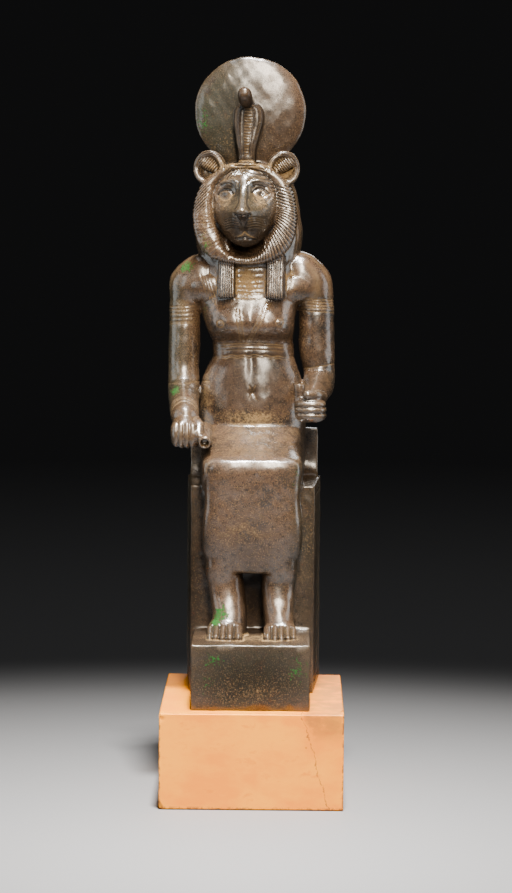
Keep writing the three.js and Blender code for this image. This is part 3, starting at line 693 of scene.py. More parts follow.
    @staticmethod
    def _dress() -> list[Shell]:
        """The close dress over the shins and over the thighs."""
        s = SIZES
        shin = s.knee - s.sole
        inside = s.throne_front + 3
        rows = [
            (0.345, 26.2, 7.4, 0, 2.8),
            (0.43, 28, 5.4, 1, 3.6),
            (0.52, 29.8, 3.8, 1, 4.2),
            (0.62, 29.7, 2.8, 2, 5),
            (0.76, 28.2, 1.4, 2, 5.2),
            (0.84, 28.6, 0.5, 3, 5.2),
            (0.93, 29.6, 0, 3, 5),
            (0.965, 29.2, 0.5, 3, 4.6),
            (0.985, 28.4, 1.8, 3, 4.2),
            (0.997, 27, 4.2, 3, 3.8),
        ]
        skirt = [(s.sole + shin * a, w, s.knee_front + f, inside + b, q) for a, w, f, b, q in rows]
        hip, rise = s.rest - 2, s.knee_rise
        reach = hip - s.knee_front
        lap = [
            (2.4, 26.6, 7, rise - 2.4, 4),
            (3.4, 27.8, 6, rise - 1, 4),
            (4.6, 28.4, 5, rise - 0.1, 4),
            (6, 29, 3, rise + 0.6, 4.2),
            (reach * 0.2, 29.8, -6, rise + 3.2, 4.4),
            (reach * 0.4, 30.6, -8, 29.5, 4.2),
            (reach * 0.6, 31.4, -8, 37, 3.6),
            (reach * 0.78, 32, -8, 40, 2.8),
            (reach * 0.92, 31.8, -8, 37, 2.6),
            (reach, 29, -8, 28, 2.5),
        ]
        rows = [(s.knee_front + y, w, s.seat + low, s.seat + top, q) for y, w, low, top, q in lap]
        return [standing(skirt, 70, 140), reaching(rows, 110, 140, -0.6)]

    def _torso_rows(self) -> list[tuple[float, ...]]:
        """The torso's keys in millimetres of the frame."""
        seat, rest = SIZES.seat, SIZES.rest
        return [(seat + z, w, rest - f, rest - b, q, x) for z, w, f, b, q, x in self.torso]

    def _trunk(self) -> list[Shell]:
        """Hips, waist, chest and neck, and the raised belt."""
        rows = self._torso_rows()
        trunk = standing(rows, 150, 180)
        trunk.points[:, 1] -= self._bosom(trunk.points)
        z, wide, front, back, square, middle = keyed(rows, SIZES.seat + np.array(self.belt_levels)).T
        out = np.array([-0.7, 0.2, 0.2, -0.7])
        belt = list(zip(z, wide + out, front - out, back + out, square, middle))
        chest = ((15, 28, 113, 10), (25, 27.5, 117, 10.5), (34, 23.5, 117.5, 11.2))
        bridges = [self._part_of_arm(side, chest, 24, 44) for side in SIDES]
        return [trunk, standing(belt, 10, 140), *bridges]

    def _bosom(self, points: Array) -> Array:
        """How far the breasts stand forward: two mounds that fade upwards and turn in sharply below.

        Each is depth * exp(-|across/wide|^4). It fades evenly upwards and as exp(-|rise/tall|^3.6) below.
        The larger one counts, with most of the smaller one, so that the valley between them stays shallow.
        """
        x = points[:, 0] - SIZES.midline(points[:, 2]) - 0.2
        rise = points[:, 2] - SIZES.seat - self.bosom_level
        upper = (1 - np.tanh((rise - 7.5) / 7)) / 1.79
        lower = np.exp(-((np.abs(rise) / 10.2) ** 3.6))
        fall = np.where(rise > 0, upper, lower) * (points[:, 1] < SIZES.rest - 18)
        mounds = [np.exp(-((np.abs(x - side * self.bosom_out) / 14) ** 4)) for side in SIDES]
        high, low = np.maximum(*mounds), np.minimum(*mounds)
        return self.bosom_depth * fall * (high + 0.85 * low)

    def _legs(self) -> list[Shell]:
        """Each leg from the foot up into the dress, and each foot with its toes."""
        s = SIZES
        shin = s.knee - s.sole
        shells: list[Shell] = []
        for side, widths, middles, foot in zip(SIDES, self.leg_widths, self.leg_middles, self.feet):
            leg = []
            for share, ahead in self.shin_line:
                wide = float(np.interp(share, self.leg_places, widths))
                middle = float(np.interp(share, self.leg_places, middles))
                front, back = s.throne_front - ahead, s.throne_front + 1 + 2.4 * share
                leg.append((s.sole + shin * share, wide, front, back, 2.3 + 1.3 * share, middle))
            shells += [standing(leg, 90, 60), *self._foot(side, *foot)]
        return shells

    def _foot(self, side: int, middle: float, narrow: float, back: float) -> list[Shell]:
        """One foot, from its middle, its narrowness and how far it stands back."""
        s = SIZES
        rows = [
            (43, 10, 2.6, 2.6),
            (38, 10.5, 4, 2.5),
            (34.5, 10.8, 8.2, 2.4),
            (30, 10.3, 10.5, 2.3),
            (24, 9.6, 11, 2.3),
            (16, 8, 12, 2.2),
            (6, 7, 12, 2.2),
            (-1, 6, 10, 2.3),
        ]
        sole = s.sole - 0.8
        body = [(s.throne_front - a + back, w * narrow, sole, sole + top, q) for a, w, top, q in rows]
        shells = [reaching(body, 36, 48, middle)]
        root = s.throne_front - 35.5 + back
        for x, y, r in self._toes():
            if side * x > 0:
                x -= s.throne_place
                tip, knuckle = (x, y + r, sole + 2.4, r * 0.94), (x, y + 5, sole + 3.1, r)
                shells.append(limb([tip, knuckle, (x, root, sole + 6.1, r)], 18, 28))
        return shells

    def _toes(self) -> list[tuple[float, float, float]]:
        """Place, front and radius of each of the ten toes; the big ones are on the inner sides."""
        toes = []
        for side, (middle, narrow, back) in zip(SIDES, self.feet):
            edge = -10.8
            for width, reach in zip(self.toe_widths, self.toe_reaches):
                x = middle + side * (edge + width / 2) * narrow + SIZES.throne_place
                edge += width
                toes.append((x, SIZES.throne_front - reach + back, width / 2 * 1.02 * narrow))
        return toes

    @staticmethod
    def _station(side: int, row: Sequence[float]) -> tuple[float, ...]:
        """A place of outwards, forward of the low back, above the seat and radius, in the frame."""
        out, forward, rise, radius = row
        return (side * out, SIZES.rest - forward, SIZES.seat + rise, radius)

    def _part_of_arm(self, side: int, rows: Rows, steps: int, sides: int, upright: bool = False) -> Shell:
        """One round form of an arm or hand, through places of one side."""
        return limb([self._station(side, row) for row in rows], steps, sides, upright)

    @staticmethod
    def _swell(grooves: Sequence[float]) -> tuple[Array, Array]:
        """Shares across the fingers of a fist, and its outline at them.

        The outline is (1 - (|share - 0.5| / 0.54)^4)^0.5, with a crease at each groove between two fingers.
        """
        share = np.linspace(0, 1, 64)[:, None]
        ends = np.sqrt(np.clip(1 - (np.abs(share - 0.5) / 0.54) ** 4, 0.05, 1))
        creases = sum(bell(share - groove, 0.035) for groove in grooves)
        return share, ends * (1 - 0.15 * creases)

    def _lowered_fist(self) -> list[Shell]:
        """The fist on the lap with its fingers turned down, and the stump of a rod in it."""
        s = SIZES
        share, swell = self._swell(self.left_grooves)
        out, forward, rise, length, deep, tall = self.lowered_fist
        dy, dz = superellipse(angles(56, 0.5)[None], deep * swell, tall * swell, 2.5)
        x = out + length * share + 0 * dy
        rings = np.stack([x, s.rest - forward + dy - 1.6 * share, s.seat + rise + dz], -1)
        rings[..., 0] += s.midline(rings[..., 2])
        back = self._part_of_arm(-1, self.lowered_back, 12, 48)
        thumb = self._part_of_arm(-1, self.lowered_thumb, 20, 30)
        return [Shell.lofted(rings), back, thumb, self._rod()]

    def _rod(self) -> Shell:
        """Round rod along the thigh, hollowed at its front end."""
        s = SIZES
        out, forward, rise = self.rod_end
        end = np.array([out, s.rest - forward, s.seat + rise])
        along = np.array(self.rod_way) / np.linalg.norm(self.rod_way)
        across = np.array([1.0, 0, 0]) - along * along[0]
        across /= np.linalg.norm(across)
        up = np.cross(across, along)
        place, radius = np.array(self.rod_section).T[..., None, None]
        angle = angles(48)
        spoke = across * np.cos(angle)[:, None] + up * np.sin(angle)[:, None]
        rings = end + along * place + spoke[None] * radius
        rings[..., 0] += s.midline(rings[..., 2])
        return Shell.lofted(rings)

    def _raised_fist(self) -> list[Shell]:
        """The raised fist: thumb above, fingers across, round the hollow stump of a staff."""
        s = SIZES
        share, swell = self._swell(self.right_grooves)
        out, forward, rise, length, wide, deep = self.raised_fist
        dx, dy = superellipse(angles(56, 0.5)[None], wide * swell, deep * swell, 2.5)
        z = s.seat + rise + length * share + 0 * dx
        rings = np.stack([out + dx + s.midline(z), s.rest - forward + dy, z], -1)
        back = self._part_of_arm(1, self.raised_back, 12, 48)
        thumb = self._part_of_arm(1, self.raised_thumb, 24, 32, upright=True)
        return [Shell.lofted(rings), back, thumb, self._staff()]

    def _staff(self) -> Shell:
        """Upright round stump of the staff, hollowed at its top."""
        s = SIZES
        out, forward = self.staff_place
        place, radius = np.array(self.staff_section).T[..., None]
        angle = angles(40)
        z = s.seat + place + 0 * angle
        x = out + radius * np.cos(angle) + s.midline(z)
        return Shell.lofted(np.stack([x, s.rest - forward + radius * np.sin(angle), z], -1))

    def carve(self, skin: Skin) -> None:
        """Models the belly, then chases collar, straps, belt, bands on the arms, navel and nails."""
        p, n = skin.points, skin.normals
        body = ease(0.15, 0.4, -n[:, 1]) * (np.abs(p[:, 0] + 4) < 36) * (p[:, 1] > 10)
        sheet = p[:, [0, 2]]
        x, z = sheet.T
        for cx, cz, wide, tall, rise in (*self.belly_forms, self.navel):
            skin.height += rise * mound(x - cx, z - cz, wide, tall) * body
        for crease, width in zip(self.navel_creases, (0.35, 0.3)):
            skin.cut(stroke(sheet, crease, width, body), 0.22, 0.5)
        self._chase_chest(skin, sheet, body)
        self._chase_belt(skin)
        self._chase_arms(skin)
        self._chase_nails(skin)

    def _chase_chest(self, skin: Skin, sheet: Array, body: Array) -> None:
        """Collar lines, dress straps with dots between them, rosettes, and folds by the shoulders."""
        x, z = sheet.T
        middle = body * ease(-14.5, -12.5, x) * (1 - ease(2.5, 4.5, x))
        for level in self.collar_levels:
            line = [(-13, level + 0.5), (-5, level), (4, level + 0.5)]
            skin.cut(stroke(sheet, line, 0.3, middle), 0.26, 0.6)
        for line in self.straps:
            skin.cut(stroke(sheet, line, 0.27, body), 0.3, 0.75)
        for row in self.dotted:
            for cx, cz in np.linspace(*row, 12):
                skin.cut(mound(x - cx, z - cz, 0.45, 0.35) * body, 0.3, 0.6)
        for cx, cz, clear in self.rosettes:
            r = np.hypot(x - cx, z - cz)
            skin.height += 0.5 * bell(r, 1.3) * body
            skin.cut(bell(r - 2.1, 0.34) * body, 0.32, clear)
        for first, move, count, width, filled in self.folds:
            for k in range(count):
                fold = np.array(first) + k * np.array(move)
                skin.cut(stroke(sheet, fold, width, body), 0.16, filled)

    def _chase_belt(self, skin: Skin) -> None:
        """Two straight lines, a thin one and two wavy ones, all the way round the waist."""
        p = skin.points
        x, z = p[:, 0] + 2.4, p[:, 2]
        trunk = (np.abs(x) < 26.5) & (np.abs(z - 261) < 9) & (p[:, 1] > 10)
        level = z + 0.003 * x**2
        wave = 0.35 * np.sin(2 * math.pi * x / 7.0) + 0.2 * np.sin(2 * math.pi * x / 17)
        clear = trunk * (0.3 + 0.7 * ease(20, 16.5, np.abs(x)))
        for place, waves, width, depth, filled in self.belt_lines:
            skin.cut(bell(level - place - waves * wave, width) * clear, depth, filled)

    def _chase_arms(self, skin: Skin) -> None:
        """Armlets with a hatched cell, a ring at each elbow and a bracelet at the lowered wrist."""
        x, y, z = skin.points.T
        for side, start, middle, levels in self.armlets:
            out = side * (x + 3.6)
            outer = np.clip(ease(start, start + 3, out) + 0.25 * (out > 29.4), 0, 1)
            across = z + 0.05 * out - side * 1.9
            lines = sum(bell(across - level, 0.27) for level in levels)
            skin.cut(lines * (np.abs(z - 286) < 12) * outer, 0.3, 0.8)
            cell = bell(side * x - middle, 3.4) * (skin.normals[:, 1] < -0.2)
            cell *= (z < max(levels)) & (z > min(levels) + 2)
            hatch = ripples((x + 0.3 * z) / 1.5, 2) + ripples((x - z) / 1.9, 2)
            skin.cut(hatch * cell * outer, 0.18, 0.5)
        for side, level, place, slope, filled in self.elbow_rings:
            ring = bell(z - level - slope * (x - place), 0.36) * (side * x > 27.5)
            skin.cut(ring * (np.abs(z - 246) < 9) * (y > 18), 0.34, filled)
        wrist = (x < -31) & (z > 205) & (z < 240)
        for place, width, share in self.bracelet:
            skin.cut(share * bell(y - place, width) * wrist, 0.34, 0.8)

    def _chase_nails(self, skin: Skin) -> None:
        """A nail's outline on the tip of each toe, and a groove with painted shade between each two."""
        x, y, z = skin.points.T
        toes = self._toes()
        ahead, up = -skin.normals[:, 1], skin.normals[:, 2]
        low = (z < SIZES.sole + 11) * (z > SIZES.sole + 0.5) * ease(0.05, 0.3, up + ahead)
        for (xa, ya, ra), (xb, yb, rb) in zip(toes, toes[1:]):
            if abs(xb - xa) < 6:
                gap = (xa * rb + xb * ra) / (ra + rb)
                line = [(gap, max(ya, yb) + 0.5), (gap, SIZES.throne_front - 34)]
                skin.cut(stroke(skin.points[:, :2], line, 0.55, low), 0.8, 0)
        top = ease(0.3, 0.6, up) * (z < SIZES.sole + 8)
        for place, reach, radius in toes:
            ring = np.hypot((x - place) / (0.66 * radius), (y - reach - 2.4) / 1.9)
            near = (ring < 2) * top
            skin.height += 0.16 * ease(1, 0.8, ring) * near
            skin.cut(bell(ring - 1.05, 0.16) * near, 0.3, 0.7)


@dataclass
class Head:
    """Lion head with wig, ring of mane, ears, lappets, sun disc and cobra, turned a little to one side."""

    shift: float = -2.4
    turn: float = math.radians(-5)
    pivot: float = 31.0
    mane_centre: float = 165.5
    mane_wide: float = 25.4
    mane_fan: float = 26.0
    mane_up: float = 25.2
    mane_down: float = 31.8
    # Where the ring of locks begins and ends, as shares of the mane's own size: each fades between two.
    ring_inside: tuple[float, float] = (0.74, 0.8)
    ring_outside: tuple[float, float] = (1.24, 1.32)
    # Lowest and highest places of the ring about the mane's centre, and the top of the rope over it.
    ring_foot: tuple[float, float] = (-34, -31)
    ring_head: tuple[float, float] = (23, 24)
    rope_top: tuple[float, float] = (29, 30)
    lock_pitch: float = 1.85
    face_wide: float = 20.6
    face_top: float = 20.4
    face_chin: float = 27.0
    face_centre: float = 168.4
    nose_level: float = 164.3
    face_back: float = -6.5
    ear_out: float = 22.0
    ear_level: float = 188.8
    lappet_out: float = 14.6
    lappet_shift: float = 3.6
    disc_radius: float = 34.3
    disc_thickness: float = 10.0
    disc_rim: float = 4.6
    disc_rise: float = 222.4
    # Hood: above the seat, half-width, front, back, squareness, middle.
    hood: Rows = (
        (189, 6.6, -9.4, 4, 3.6, 0.2),
        (192, 5.6, -9, 4, 3.8, 0.2),
        (196, 5.2, -8.6, 3.6, 4, 0.1),
        (200, 5.5, -8.8, 3.2, 4, 0.1),
        (206, 6.8, -8.6, 3.2, 4, 0.3),
        (213, 8.3, -8, 3.4, 4, 0.6),
        (219, 9.1, -7.6, 3.6, 3.8, 0.9),
        (224, 8.6, -7.2, 3.8, 3, 0.9),
        (227, 6, -7, 4, 2.6, 0.6),
    )
    throat: tuple[float, float, float] = (0.4, -10.0, 144.8)
    throat_size: tuple[float, float, float] = (11.0, 13.0, 9.0)
    ear_wide: float = 1.2
    ear_tall: float = 1.28
    ear_turn: float = 0.3
    # Section of an ear: radius, forward.
    ear_section: Rows = (
        (0.2, -2.6),
        (3, -2.2),
        (4.6, -0.8),
        (5.6, 2),
        (6.3, 3.1),
        (7.2, 3.5),
        (8.1, 2.7),
        (8.6, 1.2),
        (8.4, -1),
        (7.8, -3),
        (4, -6.6),
        (0.2, -8),
    )
    tuft_tilt: float = math.radians(27)
    tuft_place: tuple[float, float] = (0.9, 1.1)
    tuft_half: float = 7.4
    # Width of a tuft above and below its long axis.
    tuft_widths: tuple[float, float] = (5.4, 2.6)
    # The face is drawn across and above the nose. Each line has its places, width, depth and sediment.
    bridge_line: Rows = ((-8, 0), (-3, 0.8), (1, 2.6), (6, 6), (11, 5), (16, 2.4), (22, 0))
    eyes: Rows = ((-11.6, 9.0), (10.0, 9.8))
    pupils: Rows = ((-12.3, 8.8), (10.3, 9.6))
    upper_lids: tuple[Rows, ...] = (
        ((-16.4, 8.7), (-14.9, 10.7), (-13, 11.8), (-10.6, 12), (-8.7, 11.5), (-6.8, 9.6)),
        ((5.4, 10.4), (7, 12.2), (9.3, 12.8), (11.6, 12), (14.6, 9.6)),
    )
    lower_lids: tuple[Rows, ...] = (
        ((-16.4, 8.7), (-14.1, 6.6), (-11.4, 5.7), (-9, 6.5), (-6.8, 9.6)),
        ((5.4, 10.4), (7.7, 7.9), (10.6, 7.1), (14.6, 9.6)),
    )
    face_lines: tuple[tuple[Rows, float, float, float], ...] = (
        (((-14.6, 14.2), (-11.2, 15.5), (-8.5, 15.6), (-6.4, 14.2)), 0.5, 0.5, 0),
        (((5.1, 13.6), (7.1, 14.4), (9.9, 14.4), (12.6, 13.4)), 0.5, 0.5, 0),
        (
            ((-14.3, 15.4), (-11.7, 17), (-8.5, 17.8), (-6.1, 17.6), (-4.3, 16.2), (-4.6, 13.2)),
            0.5,
            -0.55,
            0,
        ),
        (((-13, 17.6), (-9.4, 19.2), (-5.4, 18.8), (-3.2, 17)), 0.4, 0.35, 0.6),
        (((2.3, 14.6), (4.2, 16.5), (7.1, 17.7), (10, 17.5), (13.4, 15.4)), 0.5, -0.55, 0),
        (((3.0, 17.2), (6.4, 19.3), (10.6, 19), (13.4, 17.2)), 0.4, 0.35, 0.6),
        (((3.4, 13.6), (3.8, 10), (5.6, 5.9), (9.2, 2.2)), 0.55, -0.45, 0),
        (((-5.2, 12), (-4.9, 8), (-6.3, 4.6), (-9.6, 1.6)), 0.6, 0.3, 0),
        (((-18.6, 9.4), (-17.2, 5.8), (-14.6, 3)), 0.6, -0.4, 0),
        (((17.4, 9.8), (16.6, 6.6), (14.8, 4)), 0.6, -0.5, 0),
        (((-2.9, 17), (-2.4, 10), (-2.0, 4.2), (-3.8, 0.4)), 0.6, 0.35, 0),
        (((2.3, 17), (2.9, 10), (3.4, 4.2), (5.2, 0.4)), 0.6, 0.35, 0),
        (((-4.2, -2.2), (-1.4, -3), (1, -3.1), (3.4, -3), (6, -2.2)), 0.5, 0.6, 0),
        (((-3.8, -3), (-1.6, -5.6), (-0.2, -8.4)), 0.45, 0.55, 0),
        (((5.6, -3), (3.4, -5.6), (2, -8.4)), 0.45, 0.55, 0),
        (((-3.4, -15.9), (-0.2, -14.7), (1.2, -12.9), (2.8, -14.5), (6, -16.1)), 0.36, 0.35, 1),
        (((-4.6, -17.4), (-1.6, -17.2), (1.3, -16.5), (4.2, -17.3), (7.2, -17.7)), 0.6, 0.85, 0),
    )
    nostrils: Rows = ((-2.6, -3.9), (4.3, -3.9))
    nose_leather: tuple[float, float] = (1, -5)
    whisker_lines: int = 5
    whisker_pitch: float = 1.5
    whiskers: tuple[tuple[Rows, float, float, float], ...] = (
        (((3.8, -5.1), (8.4, -4.1), (12.8, -5.4)), 0.34, 0.6, 0.5),
        (((-2.2, -5.4), (-6.8, -4.6), (-11, -5.9)), 0.42, 0.5, 0.2),
    )

    def placed(self, shell: Shell) -> Shell:
        """A form drawn about the head's own axis, in the frame: turned, moved, then leaning."""
        c, s = math.cos(self.turn), math.sin(self.turn)
        x, y, z = shell.points.T
        z = z + SIZES.seat
        across = c * x - s * y + self.shift + SIZES.midline(z)
        return Shell(np.stack([across, s * x + c * y + SIZES.rest - self.pivot, z], 1), shell.faces)

    def local(self, points: Array) -> Array:
        """Points of the frame seen from the head's own axis: across, backwards, above the seat."""
        c, s = math.cos(self.turn), math.sin(self.turn)
        x = points[:, 0] - SIZES.midline(points[:, 2]) - self.shift
        y = points[:, 1] - SIZES.rest + self.pivot
        return np.stack([c * x + s * y, -s * x + c * y, points[:, 2] - SIZES.seat], 1)

    def shells(self) -> list[Shell]:
        """Every form of the head, in the frame."""
        forms = [self._mane(), self._face(), *self._cobra()]
        for side in SIDES:
            forms += [*self._ear(side), self._lappet(side)]
        wig = self.hollowed(self.placed(self._wig()))
        return [wig, *(self.placed(form) for form in forms), self._disc()]

    def hollowed(self, shell: Shell) -> Shell:
        """A form with the hollow under the chin pressed into its front: the back half of an ellipsoid."""
        place = self.local(shell.points)
        u, y, w = (place - self.throat).T / np.array(self.throat_size)[:, None]
        inside = 1 - u**2 - w**2
        floor = np.sqrt(np.clip(inside, 0, 1))
        pressed = self.throat[1] + self.throat_size[1] * floor
        place[:, 1] = np.where((inside > 0) & (y < floor), pressed, place[:, 1])
        return self.placed(Shell(place, shell.faces))

    @staticmethod
    def _wig() -> Shell:
        """Wig over the crown, the sides and the back of the neck."""
        rows = [
            (101, 15, 23, 31, 3),
            (106, 19, 18, 33, 3),
            (118, 23, 4, 34.5, 2.8),
            (126, 26.4, -6, 35, 2.6),
            (136, 30.4, -8.5, 36, 2.5),
            (150, 32.6, -9, 36.5, 2.4),
            (161, 31, -9, 36, 2.3),
            (172, 29.2, -9, 34.4, 2.2),
            (181, 26.2, -8, 32, 2.2),
            (187, 21.5, -6, 28, 2.1),
            (190.6, 15.5, -3, 23, 2),
            (192.6, 8, 3, 16, 2),
        ]
        return standing(rows, 90, 120, lean=False)

    def _oval(self, angle: Array) -> Array:
        """The mane's middle line: across and above the seat, at an angle from the viewer's right."""
        up = np.sin(angle)
        tall = np.where(up > 0, self.mane_up, self.mane_down)
        across, rise = superellipse(angle, self.mane_wide, tall, np.where(up > 0, 2, 2.35))
        return np.stack([across, self.mane_centre + rise], -1)

    def _mane(self) -> Shell:
        """Ring round the face, thick at the cheeks and thin under the chin.

        A superellipse is carried round the oval. Its size and its place follow the sine of the oval's angle.
        """
        angle = np.linspace(0, 2 * math.pi, 240, endpoint=False)
        up = np.sin(angle)
        rows = [
            (-1, 2.2, 3.2, 13.6),
            (-0.9, 4.0, 4.4, 13.2),
            (-0.55, 7.0, 5.2, 12.4),
            (-0.2, 6.6, 5.2, 11.8),
            (0, 5.9, 5.0, 11.6),
            (0.35, 4.6, 4.6, 11),
            (0.7, 3.0, 3.8, 10.6),
            (1, 2.3, 3.4, 10.5),
        ]
        _, wide, thick, forward = keyed(rows, up).T
        line = self._oval(angle)
        tall = np.where(up > 0, self.mane_up, self.mane_down)
        out = np.stack([np.cos(angle) / self.mane_fan, up / tall], -1)
        out /= np.linalg.norm(out, axis=1)[:, None]
        across, deep = superellipse(angles(40, 0.5)[None], wide[:, None], thick[:, None], 2.7)
        x, z = np.moveaxis(line[:, None] + across[..., None] * out[:, None], -1, 0)
        return Shell.looped(np.stack([x, deep - forward[:, None], z], -1))

    def face_depth(self, u: Array, v: Array) -> Array:
        """How far the lioness's face stands forward, at u sideways and v above the nose.

        The sum of a skull that curves away, a flat-topped bridge, two whisker pads with a cleft, the nose
        leather, a chin, cheeks and two eye sockets with their eyeballs. The lower face sits a little to the
        viewer's right.
        """
        skull = 13 - 0.011 * u * u - np.where(v > 12, 0.01, 0.006) * (v - 12) ** 2
        m = u - 0.7 + 0.04 * v
        bridge = keyed(self.bridge_line, v)[..., 1]
        ridge = bridge * (0.35 * bell(m, 4.8) + 0.65 * mound(m, 0 * v, 4.1, 1, 4))
        muzzle = 16.5 * mound(m, v + 6, 12.2, 11.4, 2.8) * (1 + 0.034 * (v + 6))
        pads = 1.1 * (mound(m - 6.6, v + 7.4, 4.6, 5.2, 2.4) + mound(m + 6.6, v + 7.8, 4.6, 5.2, 2.4))
        nose = 3.2 * mound(m, v + 0.6, 4.6, 3.4, 2.2)
        leather = -1.9 * mound(m, v + 5.4, 3.6, 3, 2.6)
        cleft = -1.5 * mound(m, v + 10.5, 0.95, 4.2, 3)
        chin = 10 * mound(m, v + 19, 8, 4.6, 2.6)
        mouth = -1.4 * bell(v + 16.4, 0.9) * mound(m, 0 * v, 5.4, 1, 4)
        cheek = 2.4 * mound(np.abs(u) - 14.5, v + 1, 4.5, 7)
        eyes = np.zeros_like(u)
        for side, (eu, ev) in zip(SIDES, self.eyes):
            du, dv = (u - eu) * side, v - ev
            eyes -= 3.2 * mound(du + 0.4, dv + 0.4, 6.2, 5.4, 2.4)
            eyes += 1.3 * mound(du, dv, 5.0, 3.0, 2.6)
            eyes += 1.5 * mound(du - 0.5, dv - 7.2 + 0.05 * du * du, 6.6, 1.8)
            eyes -= 0.9 * mound(du + 2.5, dv + 5.5, 4.5, 2.4)
        return skull + ridge + muzzle + pads + nose + leather + cleft + chin + mouth + cheek + eyes

    def _face(self) -> Shell:
        """The face as a round grid of heights over an egg-shaped outline, closed by a flat back."""
        share = np.concatenate([[1.0], np.cos(np.linspace(0.16, math.pi / 2 - 0.01, 90))])[:, None]
        angle = angles(240)[None]
        up = np.sin(angle)
        taper = np.where(up < 0, 1 - 0.18 * up * up, 1)
        u = self.face_wide * np.cos(angle) * share * taper
        w = np.where(up > 0, self.face_top, self.face_chin) * up * share
        wall = np.sqrt(np.clip(1 - share**10, 0, 1))
        depth = wall * self.face_depth(u, w + self.face_centre - self.nose_level)
        depth[0] = -6
        front = np.stack([u, self.face_back - depth, self.face_centre + w], -1)
        behind = np.full(240, self.face_back + 6.0)
        back = np.stack([u[0] * 0.97, behind, self.face_centre + w[0] * 0.97], -1)
        return Shell.lofted(np.concatenate([back[None], front]))

    def _ear(self, side: int) -> list[Shell]:
        """A round ear open to the front, with a tuft of combed hair in it.

        The ear is its section turned about its own axis. The tuft is an ellipsoid, wider above its long axis
        than below it.
        """
        radius, rise = spline(self.ear_section, 5).T[..., None]
        angle = angles(72)[None]
        u, w = radius * np.cos(angle) * self.ear_wide, radius * np.sin(angle) * self.ear_tall
        y = -rise + 0 * u
        c, s = math.cos(side * self.ear_turn), math.sin(side * self.ear_turn)
        bowl = np.stack([c * u - s * y + side * self.ear_out, s * u + c * y - 6, w + self.ear_level], -1)
        polar = np.linspace(0.05, math.pi - 0.05, 24)[:, None]
        width = np.sin(polar) * np.cos(angles(40))
        across = np.where(width > 0, *self.tuft_widths) * width
        along = self.tuft_half * np.cos(polar) + 0 * width
        c, s = math.cos(self.tuft_tilt), math.sin(self.tuft_tilt)
        out, up = self.tuft_place
        x = side * (self.ear_out + out + along * c - across * s)
        z = self.ear_level + up + along * s + across * c
        tuft = np.stack([x, 3.4 * np.sin(polar) * np.sin(angles(40)) - 5.8, z], -1)
        return [Shell.lofted(bowl), Shell.lofted(tuft)]

    def _lappet(self, side: int) -> Shell:
        """One lappet of the wig on the chest: a strap whose front falls back as |share|^2.6 to each side."""
        rows = [(111.6, 5.2, -16.2), (112.2, 5.5, -17), (124, 5.5, -15.6), (139, 5.1, -13)]
        z = np.linspace(111.6, 139, 50)
        _, half, front = keyed(rows, z).T
        back = np.interp(z, [111.6, 112.4, 124, 139], [-4, -4, -2, 2])
        t = np.linspace(-1, 1, 40)
        x = np.concatenate([half[:, None] * t, half[:, None] * np.array([1.0, -1.0])], 1)
        y = np.concatenate([front[:, None] + 3.0 * np.abs(t) ** 2.6, np.repeat(back[:, None], 2, 1)], 1)
        place = side * self.lappet_out + self.lappet_shift
        return Shell.lofted(np.stack([x + place, y, z[:, None] + 0 * x], -1)[:, ::-1])

    def _disc(self) -> Shell:
        """Sun disc, thicker in the middle than at its rounded rim. It isn't turned with the head.

        At a share of the radius it is edge * (1 - share^7)^0.6 + swell * (1 - share^2) thick on each side of
        its middle plane, and the rim wavers by three sines.
        """
        edge, swell = self.disc_rim / 2, (self.disc_thickness - self.disc_rim) / 2
        share = np.sin(np.linspace(0.01, math.pi / 2, 56))
        half = (edge * (1 - share**7) ** 0.6 + swell * (1 - share**2)) * np.clip(1 - share**24, 0, 1) ** 0.5
        radius = np.concatenate([share, share[-2::-1]])[:, None]
        y = np.concatenate([-half, half[-2::-1]])
        angle = angles(240)[None]
        uneven = 0.5 * np.sin(3 * angle + 0.6) + 0.3 * np.sin(7 * angle + 2.1) + 0.25 * np.sin(13 * angle)
        reach = radius * (self.disc_radius - 0.35 + 0.33 * uneven * radius**2)
        z = reach * np.sin(angle) + SIZES.seat + self.disc_rise
        x = reach * np.cos(angle) - 1 + SIZES.midline(z)
        return Shell.lofted(np.stack([x, y[:, None] + SIZES.rest - 24 + 0 * x, z], -1))

    def _cobra(self) -> list[Shell]:
        """Spread hood of the rearing cobra, and its head reaching forward over it."""
        head = [
            (-22.4, 2.2, 231.6, 235.2, 2),
            (-21.6, 3.2, 230, 236.4, 2.1),
            (-19, 3.9, 227.4, 237.2, 2.3),
            (-15.5, 4, 225.2, 237, 2.4),
            (-8, 3.8, 224.8, 235.6, 2.2),
            (-1, 3, 224, 232, 2),
            (4, 2.4, 222, 229, 2),
        ]
        return [standing(self.hood, 60, 70, lean=False), reaching(head, 50, 44, lean=False)]

    def carve(self, skin: Skin) -> None:
        """Chases mane, wig, ears, lappets, cobra and the lines of the face."""
        near = np.flatnonzero(skin.points[:, 2] > SIZES.seat + 96)
        part = Skin(self.local(skin.points[near]), np.empty((0, 4), np.int64))
        part.normals = skin.normals[near]
        self._chase_mane(part)
        self._chase_ears(part)
        self._chase_lappets(part)
        self._chase_cobra(part)
        self._chase_face(part)
        skin.height[near] += part.height
        skin.filled[near] = np.maximum(skin.filled[near], part.filled)
        skin.carved_shade[near] = np.maximum(skin.carved_shade[near], part.carved_shade)

    def _ear_mask(self, p: Array) -> Array:
        """Share of each point that belongs to an ear."""
        return 1 - ease(9.5, 11, np.hypot(np.abs(p[:, 0]) - self.ear_out, p[:, 2] - self.ear_level))

